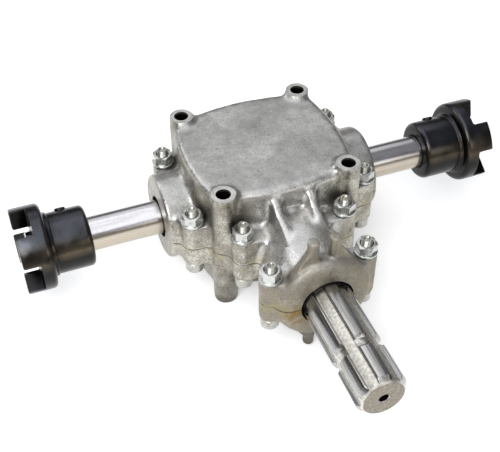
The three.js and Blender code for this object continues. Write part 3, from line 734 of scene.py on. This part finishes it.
def lugs():
    """Bolt lugs of both halves: two at each collar, two on the front, two behind and two on the nose."""
    nose_x, nose_y = BOLTS["nose_right"]
    front_x, front_y = BOLTS["front_right"]
    side_x, side_y = BOLTS["right_rear"]
    nose = [(20, nose_y - LUG_R), *arc(nose_x, nose_y, LUG_R, -90, 90), (20, nose_y + LUG_R)]
    round_corner = [*arc(front_x, front_y, LUG_R, -90, 0), (front_x + LUG_R, -50)]
    front = [(24, -50), (24, front_y - LUG_R), *round_corner]
    rear = [(29.8, -50), (29.8, front_y - LUG_R), *round_corner]
    side = [(side_x - LUG_R, 20), (side_x + LUG_R, 20), *arc(side_x, side_y, LUG_R, 0, 90),
            (side_x - LUG_R, side_y + LUG_R)]
    outlines = [nose, front, flipped(rear, y=-1), side, flipped(side, y=-1)]
    return [
        prism("lug", flipped(outline, x=sx), LUG_BOTTOM, LUG_TOP) for outline in outlines for sx in (1, -1)
    ]


def collar(side):
    profile = rounded([(0, 40, 0), (COLLAR_R, 40, 0), (COLLAR_R, COLLAR_END, 2.2), (0, COLLAR_END, 0)])
    return lathe("collar", [(r, side * a) for r, a in profile], "x", 128)


def nose_turned():
    """Neck, nose ring and its rounded front."""
    profile = rounded([
        (0, -WALL_Y + WALL, 0),
        (NECK_R - 1.5, -WALL_Y + WALL, 0),
        (NECK_R, -NOSE_BACK + 3, 2),
        (NOSE_BACK_R, -NOSE_BACK, 0.6),
        (NOSE_R, -NOSE_EDGE, 2.5),
        (30.5, -NOSE_FACE + 1.7, 3),
        (26, -NOSE_FACE, 2),
        (0, -NOSE_FACE, 0),
    ])
    return lathe("nose", profile, "y", 128)


def gusset(x, fade):
    """A rib from the front wall down to the neck, sunk into it at y = -fade."""
    slope = [(-56 - 14 * t, 40 - 9.5 * (1 - (1 - t) ** 2)) for t in (0.25, 0.5, 0.75, 1)]
    crest = [(-50, 24), (-50, 41), (-56, 40), *slope, (-fade, 25), (-fade - 3, 20)]
    return upright("rib", crest, x - RIB_T / 2, x + RIB_T / 2)


def peg_web(side, up):
    """Web from the nose ring up to a guard peg, leaning on the ring's shoulder."""
    outline = [(PRONG_X - PRONG_R + 0.4, 24), (24, 22), (PRONG_X + PRONG_R - 0.3, 41),
               (PRONG_X - PRONG_R + 0.4, 41)]
    rings = [
        [(side * x, y, up * z) for x, z in outline]
        for y in (-PRONG_Y - PRONG_R + 1, -PRONG_Y + PRONG_R - 1)
    ]
    return mesh_object("web", *skin(rings, False))


def peg(side):
    profile = rounded([
        (0, -PRONG_TOP, 0), (PRONG_R, -PRONG_TOP, 1.4), (PRONG_R, PRONG_TOP, 0.9), (0, PRONG_TOP, 0),
    ])
    return lathe("peg", profile, "z", 48, (side * PRONG_X, -PRONG_Y, 0))


POSTS = [(sx * POST_AT, sy * POST_AT) for sx in (1, -1) for sy in (1, -1)]


def casting_blank():
    """Every raised form of the casting blended into one skin, with rounded inside corners."""
    spare = 1.2
    posts = [lathe("post", rod(POST_R, POST_BOTTOM - spare, POST_TOP + spare), "z", 64, (x, y, 0))
             for x, y in POSTS]
    body = join("body", [case_middle(), *lugs(), collar(1), collar(-1), nose_turned(), *posts,
                         *[gusset(x, fade) for x, fade in zip(RIB_AT, RIB_FADE)]])
    remesh(body, VOXEL)
    fill_corners(body, 3)
    webs = [peg_web(side, up) for side in (1, -1) for up in (1, -1)]
    blank = join("casting", [body, *webs, peg(1), peg(-1)])
    remesh(blank, VOXEL)
    return blank


def cross_bores(name, radius, low, high):
    """A bore along the cross shaft through each collar."""
    return join(name, [lathe(name, rod(radius, side * low, side * high), "x") for side in (1, -1)])


def nose_bore():
    """The stepped bore of the splined shaft: seal, outer bearing, neck and inner bearing."""
    inner, outer = PTO_INNER_SEAT
    return lathe("nose_bore", [
        (0, -NOSE_FACE - 5),
        (NOSE_OPENING_R, -NOSE_FACE - 5),
        (NOSE_OPENING_R, -NOSE_SEAL[1] - GAP),
        (BEARING_SEAT_R, -NOSE_SEAL[1] - GAP),
        (BEARING_SEAT_R, -NOSE_SEAL[0] + GAP),
        (PTO_SEAT_R, -NOSE_SEAL[0] + GAP),
        (PTO_SEAT_R, -PTO_OUTER_SEAT),
        (NECK_INNER_R, -PTO_OUTER_SEAT),
        (NECK_INNER_R, -outer),
        (PTO_SEAT_R, -outer),
        (PTO_SEAT_R, -inner),
        (0, -inner),
    ], "y")


def hollow_tools():
    """What is hollow or machined in the casting, in groups that don't touch each other."""
    cavity = block(
        "cavity",
        (-CAVITY_X, -CAVITY_FRONT, FLOOR_Z + WALL - 0.3),
        (CAVITY_X, WALL_Y - WALL - 1, ROOF_Z - WALL),
    )
    bores = cross_bores("bores", BEARING_SEAT_R, 40, CROSS_SEAL[1] + GAP)
    mouths = cross_bores("mouths", COLLAR_OPENING_R, 60, COLLAR_END + 5)
    holes = [lathe("hole", rod(POST_HOLE_R, -60, 60), "z", 48, (x, y, 0)) for x, y in POSTS]
    holes += [lathe("hole", rod(BOLT_R + 0.7, -60, 60), "z", 32, (x, y, 0)) for x, y in BOLTS.values()]
    trims = []
    for x, y in POSTS:
        reach = POST_R + 3
        trims.append(block("trim", (x - reach, y - reach, POST_TOP), (x + reach, y + reach, 60)))
        trims.append(block("trim", (x - reach, y - reach, -60), (x + reach, y + reach, POST_BOTTOM)))
    spots = []
    for x, y in BOLTS.values():
        spots.append(lathe("spot", rod(WASHER_R + 0.5, LUG_TOP, LUG_TOP + 9), "z", 48, (x, y, 0)))
        spots.append(lathe("spot", rod(BOLT_HEAD_R + 0.7, LUG_BOTTOM - 12, LUG_BOTTOM), "z", 48, (x, y, 0)))
    groups = [join("trims", trims), join("spots", spots), join("holes", holes)]
    return [cavity, bores, mouths, nose_bore(), *groups]


def push(target, distance):
    """Moves every point along its normal. distance is in millimetres, a number or a function of place."""
    mesh = target.data
    normals = np.empty(len(mesh.vertices) * 3)
    mesh.vertex_normals.foreach_get("vector", normals)
    places = np.empty(len(mesh.vertices) * 3)
    mesh.vertices.foreach_get("co", places)
    places = places.reshape(-1, 3)
    if callable(distance):
        distance = np.array([distance(Vector(p)) for p in places])[:, None]
    places = places + normals.reshape(-1, 3) * distance * MM
    mesh.vertices.foreach_set("co", places.ravel())
    mesh.update()


def fill_corners(target, radius):
    """Rounds inside corners by swelling the skin and shrinking it back."""
    push(target, radius)
    remesh(target, VOXEL)
    push(target, -radius)
    remesh(target, VOXEL)


def sand_cast(place):
    """How far the skin of a sand casting stands in or out here."""
    broad = noise.noise(place / (13 * MM))
    fine = noise.noise(place / (4 * MM))
    return 0.24 * (broad - 0.7) + 0.06 * fine


def case_half(name, blank, up):
    """One half of the casting: its own skin with a soft edge along the joint, then the machining."""
    half = blank.copy()
    half.data = blank.data.copy()
    half.name = name
    bpy.context.scene.collection.objects.link(half)
    reach = 300
    low, high = (-0.7, 70) if up > 0 else (-70, 0.7)
    boolean(half, block("side", (-reach, -reach, low), (reach, reach, high)), "INTERSECT")
    remesh(half, VOXEL)
    relax(half, 0.5, 6)
    push(half, sand_cast)
    for tool in hollow_tools():
        boolean(half, tool, "DIFFERENCE")
    low, high = (SPLIT_GAP, 70) if up > 0 else (-70, -SPLIT_GAP)
    boolean(half, block("side", (-reach, -reach, low), (reach, reach, high)), "INTERSECT")
    return half


# ---------------------------------------------------------------- fasteners


def hexagon(flats, angle):
    """Distance from the middle to the side of a hexagon with a corner at angle 0."""
    return flats / 2 / math.cos(angle % (math.pi / 3) - math.pi / 6)


def hex_ring(flats, z, round_off, turn, limit, segments=72):
    """Ring of a hexagon at height z, its corners dropped by a 30 degree cone past `limit`."""
    ring = []
    for i in range(segments):
        angle = TAU * i / segments
        radius = hexagon(flats, angle + math.pi / 6 + turn)
        drop = max(0, radius - limit) * math.tan(math.radians(30))
        ring.append((radius * math.cos(angle), radius * math.sin(angle), z - round_off * drop))
    return ring


def circle_ring(radius, z, segments=72):
    return [(radius * math.cos(TAU * i / segments), radius * math.sin(TAU * i / segments), z)
            for i in range(segments)]


def standing(name, rings, xy, closed):
    x, y = xy
    moved = [[(a + x, b + y, c) for a, b, c in ring] for ring in rings]
    return mesh_object(name, *skin(moved, closed))


def hex_nut(place, xy):
    bottom = LUG_TOP + GAP + WASHER_H
    top = bottom + NUT_H
    flat = NUT_FLATS / 2
    rings = [
        circle_ring(BOLT_R + 0.15, bottom),
        circle_ring(flat - 0.1, bottom),
        hex_ring(NUT_FLATS, bottom, -1, 0, flat),
        hex_ring(NUT_FLATS, top, 1, 0, flat),
        circle_ring(flat - 0.15, top),
        circle_ring(BOLT_R + 0.9, top),
        circle_ring(BOLT_R + 0.15, top - 0.75),
    ]
    return standing(f"hex_nut_{place}", rings, xy, True)


def washer(place, xy):
    bottom = LUG_TOP + GAP
    profile = rounded([
        (BOLT_R + 0.4, bottom, 0.2), (WASHER_R, bottom, 0.3),
        (WASHER_R, bottom + WASHER_H - 0.1, 0.5), (BOLT_R + 0.4, bottom + WASHER_H - 0.1, 0.2),
    ], 3, True)
    return lathe(f"washer_{place}", profile, "z", 64, (*xy, 0))


def cap_screw(place, xy):
    """Socket-head screw put in from below, its threaded end standing out of the nut."""
    under = LUG_BOTTOM - GAP
    low = under - BOLT_HEAD_H
    socket = 6
    rings = [
        hex_ring(socket, low + 4, 0, 0, socket),
        hex_ring(socket, low + 0.4, 0, 0, socket),
        circle_ring(socket / 2 + 0.9, low),
        circle_ring(BOLT_HEAD_R - 0.9, low),
        circle_ring(BOLT_HEAD_R - 0.25, low + 0.25),
        circle_ring(BOLT_HEAD_R, low + 0.9),
        circle_ring(BOLT_HEAD_R, under - 0.3),
        circle_ring(BOLT_HEAD_R - 0.3, under),
        circle_ring(BOLT_R, under),
    ]
    pitch = 1.25
    depth = 0.62
    steps = 8
    start = LUG_TOP + 5
    count = int((BOLT_TOP - start) / pitch * steps)
    for k in range(count + 1):
        z = start + (BOLT_TOP - start) * k / count
        ring = []
        for i in range(72):
            angle = TAU * i / 72
            phase = (z / pitch - angle / TAU) % 1
            groove = depth * (1 - abs(2 * phase - 1)) if z > start else 0
            radius = min(BOLT_R - groove, BOLT_R - 0.7 + BOLT_TOP - z)
            ring.append((radius * math.cos(angle), radius * math.sin(angle), z))
        rings.append(ring)
    rings.append(circle_ring(2.3, BOLT_TOP - 0.05))
    rings.append(circle_ring(1.6, BOLT_TOP - 0.9))
    return standing(f"cap_screw_{place}", rings, xy, False)


# ---------------------------------------------------------------- shafts


def key_bed(angle, start, end):
    """Bar that cuts the bed of a key lying from start to end along the cross shaft."""
    a = math.radians(angle)
    out = Vector((-math.cos(a), math.sin(a)))
    side = Vector((math.sin(a), math.cos(a))) * (KEY_W / 2 + GAP)
    low, high = SHAFT_R - KEY_DEEP - GAP, SHAFT_R + 5
    outline = [out * low - side, out * high - side, out * high + side, out * low + side]
    return upright("slot", [tuple(p) for p in outline], start - GAP, end + GAP)


def clip_groove(radius, at):
    """Profile of the groove for a circlip that starts at `at` on a shaft."""
    start, end = at - CIRCLIP_PLAY, at + CIRCLIP_T + CIRCLIP_PLAY
    bottom = radius - CIRCLIP_DEEP
    return [(radius, start), (bottom, start), (bottom, end), (radius, end)]


def cross_shaft():
    """Plain bar with two circlip grooves and the key beds of the gear and the couplings."""
    left_end = rounded([(0, SHAFT_LEFT, 0), (SHAFT_R - 1, SHAFT_LEFT, 0.3), (SHAFT_R, SHAFT_LEFT + 1, 0)])
    right_end = [(SHAFT_R, SHAFT_RIGHT - 1), (SHAFT_R - 1, SHAFT_RIGHT), (0, SHAFT_RIGHT)]
    grooves = clip_groove(SHAFT_R, -CROSS_CLIP_AT - CIRCLIP_T) + clip_groove(SHAFT_R, CROSS_CLIP_AT)
    shaft = lathe("cross_shaft_bar", left_end + grooves + right_end, "x", 160)
    beds = [key_bed(GEAR_KEY_ANGLE, *GEAR_KEY)]
    for side in (1, -1):
        ends = sorted(SHAFT_SHIFT + side * end for end in COUPLING_KEY)
        beds.append(key_bed(SCREW_ANGLE, *ends))
    boolean(shaft, join("beds", beds), "DIFFERENCE")
    return shaft


def spline_section(cap, floor):
    """One section of the splined shaft as (radius, angle), held between floor and cap."""
    half = SPLINE_TOOTH / 2
    root_angle = math.asin(half / SPLINE_ROOT_R)
    tip_angle = math.asin(half / SPLINE_R)
    corner = 0.35
    flank = [SPLINE_ROOT_R, SPLINE_ROOT_R + 0.35, SPLINE_ROOT_R + 1.2, SPLINE_R - corner]
    section = []

    def held(radius):
        return max(min(radius, cap), floor)

    for tooth in range(6):
        middle = math.radians(SPLINE_PHASE + 60 * tooth)
        rise = []
        for k, radius in enumerate(flank):
            soften = 0.02 if k == 0 else 0
            rise.append((held(radius), math.asin(half / max(held(radius), SPLINE_ROOT_R)) + soften))
        tip = held(SPLINE_R)
        edge = math.asin(half / max(tip, SPLINE_ROOT_R))
        share = (tip_angle - corner / SPLINE_R) / tip_angle
        land = [(tip, edge * share * (1 - k / 4)) for k in range(5)]
        left = [(r, middle - a) for r, a in rise + land]
        right = [(r, middle + a) for r, a in reversed(rise + land[:-1])]
        root_start = middle + root_angle + 0.02
        root_width = math.radians(60) - 2 * root_angle - 0.04
        rootward = [(held(SPLINE_ROOT_R), root_start + root_width * k / 7) for k in range(1, 7)]
        section += left + right + rootward
    return section


def lock_groove():
    """The ball-lock groove as (distance from its middle, radius), from rim to rim."""
    rim = LOCK_GROOVE_W / 2
    flat = LOCK_GROOVE_FLAT / 2
    bottom = SPLINE_ROOT_R + 0.3
    half = [(rim, SPLINE_R), (rim - 0.3, SPLINE_R - 0.18), (flat + 0.2, bottom + 0.12), (flat - 0.3, bottom)]
    return [(-offset, radius) for offset, radius in half] + half[::-1]


def pto_stations():
    """Sections of the splined shaft as (distance along it, largest radius, smallest radius)."""
    plain = [
        (PTO_R - 1, PTO_INNER_END), (PTO_R, PTO_INNER_END + 1), *clip_groove(PTO_R, PINION_CLIP_AT),
        (PTO_R, PTO_SHOULDER), (SPLINE_R, PTO_SHOULDER), (SPLINE_R, RUN_OUT_START),
    ]
    stations = [(along, radius, radius) for radius, along in plain]
    for k in range(1, 6):
        t = k / 5
        stations.append((RUN_OUT_START + RUN_OUT * t, SPLINE_R, SPLINE_R - (SPLINE_R - SPLINE_ROOT_R) * t))
    stations += [(LOCK_GROOVE_AT + offset, cap, 0) for offset, cap in lock_groove()]
    foot = SPLINE_ROOT_R - 1
    slope = (SPLINE_R + 0.4 - foot) / END_BEVEL
    for cap in (SPLINE_R, 16.2, SPLINE_ROOT_R, foot + 0.2):
        stations.append((SPLINE_END - (cap - foot) / slope, cap, 0))
    stations.append((SPLINE_END, foot - 0.1, 0))
    return stations


def pto_shaft():
    """Splined shaft: plain where the bearings sit, six splines outside, a ball-lock groove and a bevel."""
    rings = []
    for along, cap, floor in pto_stations():
        rings.append([on_axis("y", r, a, -along) for r, a in spline_section(cap, floor)])
    shaft = mesh_object("splined_shaft", *skin(rings, False))
    hole = [(0, 9), (3.4, 4), (3.4, 0.6), (4.3, -0.4), (0, -0.4)]
    profile = [(radius, depth - SPLINE_END) for radius, depth in hole]
    boolean(shaft, lathe("centre_hole", profile, "y", 48), "DIFFERENCE")
    half = KEY_W / 2 + GAP
    near, far = PINION_KEY
    bed = block("bed", (PTO_R - KEY_DEEP - GAP, -far - GAP, -half), (PTO_R + 5, -near + GAP, half))
    boolean(shaft, bed, "DIFFERENCE")
    return shaft


# ---------------------------------------------------------------- couplings


def jaw_angles():
    """(angle, offset along the arc in mm, height allowed) for every step round the four jaws."""
    height = JAW_END - JAW_START
    half = math.radians(JAW_ANGLE / 2)
    root = [(1.6, 0), (0.75, 0.18), (0.2, 0.75), (0, 1.6)]
    wall = root + [(0, height - 1), (-0.3, height - 0.3), (-1, height)]
    gap = math.radians(90 - JAW_ANGLE)
    steps = []
    for jaw in range(4):
        middle = math.radians(JAW_PHASE + 90 * jaw)
        steps += [(middle - half, -offset, h) for offset, h in wall]
        steps += [(middle + half * f, 0, height) for f in (-0.66, -0.33, 0, 0.33, 0.66)]
        steps += [(middle + half, offset, h) for offset, h in reversed(wall)]
        steps += [(middle + half + gap * f, 0, 0) for f in (0.2, 0.35, 0.5, 0.65, 0.8)]
    return steps


def coupling(name, side):
    """Jaw coupling: a hub, a flange and four dogs. side is 1 on the right shaft end, -1 on the left."""
    height = JAW_END - JAW_START
    bore = SHAFT_R + GAP
    back = rounded([
        (bore, HUB_START + 0.8, 0), (bore + 0.8, HUB_START, 0), (HUB_R, HUB_START, 3.4),
        (HUB_R, FLANGE_START - 3.2, 0), (HUB_R + 0.9, FLANGE_START - 2.6, 0.5),
        (HUB_R + 1.4, FLANGE_START, 1.2), (FLANGE_R, FLANGE_START, 5), (FLANGE_R, JAW_START - 0.5, 0),
    ])
    front = [
        (FLANGE_R, 0), (FLANGE_R, 1.6), (FLANGE_R, height - 1.2), (FLANGE_R - 0.35, height - 0.35),
        (FLANGE_R - 1.2, height), (27, height), (24, height), (21, height), (JAW_INNER_R + 1, height),
        (JAW_INNER_R + 0.3, height - 0.3), (JAW_INNER_R, height - 1), (JAW_INNER_R, 1.6),
        (JAW_INNER_R - 0.2, 0.75), (JAW_INNER_R - 0.75, 0.18), (JAW_INNER_R - 1.6, 0), (bore + 0.8, 0),
        (bore, -0.8),
    ]
    steps = jaw_angles()
    rings = []
    for radius, along in back:
        rings.append([(radius, a + o / radius, along) for a, o, _ in steps])
    for radius, rise in front:
        rings.append([(radius, a + o / radius, JAW_START + min(rise, h)) for a, o, h in steps])
    on_shaft = [[on_axis("x", r, a, side * along + SHAFT_SHIFT) for r, a, along in ring] for ring in rings]
    made = mesh_object(name, *skin(on_shaft, True))
    hole = [(0, 13.5), (4.25, 13.5), (4.25, 22), (4.7, 30), (0, 30)]
    boolean(made, spoke("screw_hole", hole, side), "DIFFERENCE")
    return made


def spoke(name, profile, side, socket=0):
    """Turned solid standing out of the shaft at the set screw. The profile is (radius, distance from the
    axis); radii up to `socket` become a hexagon."""
    a = math.radians(SCREW_ANGLE)
    out = Vector((0, -math.cos(a), math.sin(a)))
    across = Vector((0, math.sin(a), math.cos(a)))
    foot = Vector((side * SCREW_AT + SHAFT_SHIFT, 0, 0))
    rings = []
    for radius, along in profile:
        ring = []
        for i in range(48):
            turn = TAU * i / 48
            r = hexagon(2 * radius, turn) if 0 < radius <= socket else radius
            arm = Vector((r * math.cos(turn), 0, 0)) + across * (r * math.sin(turn))
            ring.append(tuple(foot + out * along + arm))
        rings.append(ring)
    return mesh_object(name, *skin(rings, False))


def set_screw(name, side):
    top = HUB_R + 1.3
    outside = [(0, 16.2), (3.3, 16.2), (3.9, 16.8), (3.9, top - 0.5), (3.4, top)]
    socket = [(2.9, top), (2.2, top - 0.5), (2.2, top - 3), (0, top - 3.4)]
    return spoke(name, outside + socket, side, 2.5)


def oil_seal(name, axis, side, inner, low, high):
    profile = rounded([
        (inner + 0.2, side * (low + 2), 0.4), (inner + 2.2, side * low, 0.3), (26, side * low, 0.5),
        (26, side * high, 0.5), (inner + 3.4, side * high, 0.5), (inner + 2.4, side * (high - 1.2), 0.5),
        (inner + 0.9, side * (high - 0.4), 0.3),
    ], 3, True)
    return lathe(name, profile, axis, 96)


# ---------------------------------------------------------------- the gearbox

LOOKS = {
    "cast": cast_aluminium(),
    "cross": machined_steel("cross_shaft_steel", (0.63, 0.615, 0.6), 0, 0.2),
    "pto": splined_steel(),
    "gear": gear_steel(),
    "bearing": machined_steel("bearing_steel", (0.55, 0.55, 0.55), 0, 0.12),
    "black": black_oxide(),
    "nut": zinc("zinc_nut", (0.55, 0.56, 0.54), 0.2),
    "screw": zinc("zinc_screw", (0.46, 0.455, 0.415), 0.24),
    "rubber": seal_rubber(),
}
HOUSING = "housing"
CROSS = "cross_shaft_assembly"
PTO = "pto_shaft_assembly"


def build_case():
    blank = casting_blank()
    for name, node, up in (("casting_upper", "upper_case", 1), ("casting_lower", "lower_case", -1)):
        half = case_half(name, blank, up)
        finish_piece(half, HOUSING, LOOKS["cast"], [node], 38)
    bpy.data.objects.remove(blank)


def build_fasteners():
    for place, xy in BOLTS.items():
        finish_piece(hex_nut(place, xy), HOUSING, LOOKS["nut"], [f"nut_{place}"])
        finish_piece(washer(place, xy), HOUSING, LOOKS["nut"])
        finish_piece(cap_screw(place, xy), HOUSING, LOOKS["screw"], [f"bolt_{place}"], 40)


def build_shafts():
    finish_piece(cross_shaft(), CROSS, LOOKS["cross"], ["cross_shaft"])
    finish_piece(pto_shaft(), PTO, LOOKS["pto"], ["pto_shaft"], 24)
    for side, name in ((1, "right"), (-1, "left")):
        jaws = coupling(f"{name}_jaw_coupling", side)
        finish_piece(jaws, CROSS, LOOKS["black"], [f"{name}_coupling"], 40)
        screw = set_screw(f"{name}_grub_screw", side)
        finish_piece(screw, CROSS, LOOKS["black"], [f"{name}_coupling_set_screw"])
        seal = oil_seal(f"{name}_lip_seal", "x", side, SHAFT_R, *CROSS_SEAL)
        finish_piece(seal, HOUSING, LOOKS["rubber"], [f"{name}_oil_seal"])
    nose_seal = oil_seal("nose_lip_seal", "y", -1, SPLINE_R, *NOSE_SEAL)
    finish_piece(nose_seal, HOUSING, LOOKS["rubber"], ["nose_oil_seal"])


def dress_inner_nodes():
    """The gears, keys, rings and bearings inside stay as the CAD has them, with better steel."""
    for name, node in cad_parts.items():
        if node.hide_render:
            continue
        look = LOOKS["bearing"] if "bearing" in name else LOOKS["gear"]
        node.data.materials.clear()
        node.data.materials.append(look)


def camera():
    """Camera at the photograph's angle, its aim set in millimetres from the crossing of the axes."""
    azimuth, elevation, roll = (math.radians(a) for a in (-20.6, 43.7, -0.24))
    back = Vector((
        math.sin(azimuth) * math.cos(elevation),
        -math.cos(azimuth) * math.cos(elevation),
        math.sin(elevation),
    ))
    level = Vector((math.cos(azimuth), math.sin(azimuth), 0))
    rise = back.cross(level)
    right = math.cos(roll) * level + math.sin(roll) * rise
    up = math.cos(roll) * rise - math.sin(roll) * level
    data = bpy.data.cameras.new("camera")
    data.sensor_width = 36
    data.lens = 68.53
    data.clip_start = 0.01
    data.clip_end = 50
    made = bpy.data.objects.new("camera", data)
    bpy.context.scene.collection.objects.link(made)
    turn = Matrix((right, up, back)).transposed().to_4x4()
    place = (CENTRE + back * 711.5 - right * 9.0 - up * 26.87) * MM
    made.matrix_world = Matrix.Translation(place) @ turn
    bpy.context.scene.camera = made


def soft_light(name, place, size, power, tint=(1, 1, 1), aim=(0, 0, 0)):
    """Area light; place and aim in millimetres from the crossing of the axes."""
    data = bpy.data.lights.new(name, "AREA")
    data.shape = "RECTANGLE"
    data.size, data.size_y = (s * MM for s in size)
    data.energy = power
    data.color = tint
    made = bpy.data.objects.new(name, data)
    bpy.context.scene.collection.objects.link(made)
    made.location = (CENTRE + Vector(place)) * MM
    direction = Vector(aim) - Vector(place)
    made.rotation_mode = "QUATERNION"
    made.rotation_quaternion = direction.to_track_quat("-Z", "Y")


def studio():
    """Pale floor, pale surroundings, a dark band seen only in reflections, and five soft lights."""
    scene = bpy.context.scene
    scene.view_settings.view_transform = "Standard"
    world = bpy.data.worlds.new("studio")
    world.use_nodes = True
    world.node_tree.nodes["Background"].inputs["Color"].default_value = (0.93, 0.95, 1, 1)
    world.node_tree.nodes["Background"].inputs["Strength"].default_value = 0.22
    scene.world = world
    reach = 6000
    square = [(-reach, -reach), (reach, -reach), (reach, reach), (-reach, reach)]
    floor = mesh_object("floor", [(x, y, -CENTRE.z) for x, y in square], [(0, 1, 2, 3)])
    s = Shader("floor_paper", Roughness=0.9)
    s.colour(s.ramp(s.noise(60, 3), [(0.3, (0.86, 0.86, 0.86)), (0.7, (0.9, 0.9, 0.9))]))
    s.surface.inputs["Emission Color"].default_value = (1, 1, 1, 1)
    s.surface.inputs["Emission Strength"].default_value = 0.42
    floor.data.materials.append(s.material)
    flag = lathe("dark_band", [(900, 210), (900, 540), (912, 540), (912, 210)], "z", 64)
    flag.data.materials.append(dark_cloth())
    flag.visible_camera = False
    flag.visible_shadow = False
    flag.visible_diffuse = False
    soft_light("key", (-420, -420, 520), (420, 380), 3.0, (0.97, 0.98, 1))
    soft_light("overhead", (-150, -380, 900), (900, 1700), 6.5, (0.97, 0.98, 1), (-150, -380, 0))
    soft_light("rear", (20, 640, 760), (1140, 620), 1.75, (0.97, 0.98, 1))
    soft_light("side", (-560, 720, 470), (350, 350), 2.2, (0.95, 0.97, 1))
    soft_light("front", (260, -760, 330), (420, 260), 0.7)


def dark_cloth():
    s = Shader("dark_cloth", Roughness=0.9)
    s.colour(s.ramp(s.noise(80, 3), [(0.3, (0.075, 0.052, 0.034)), (0.7, (0.12, 0.088, 0.06))]))
    return s.material


build_case()
build_fasteners()
build_shafts()
dress_inner_nodes()
camera()
studio()
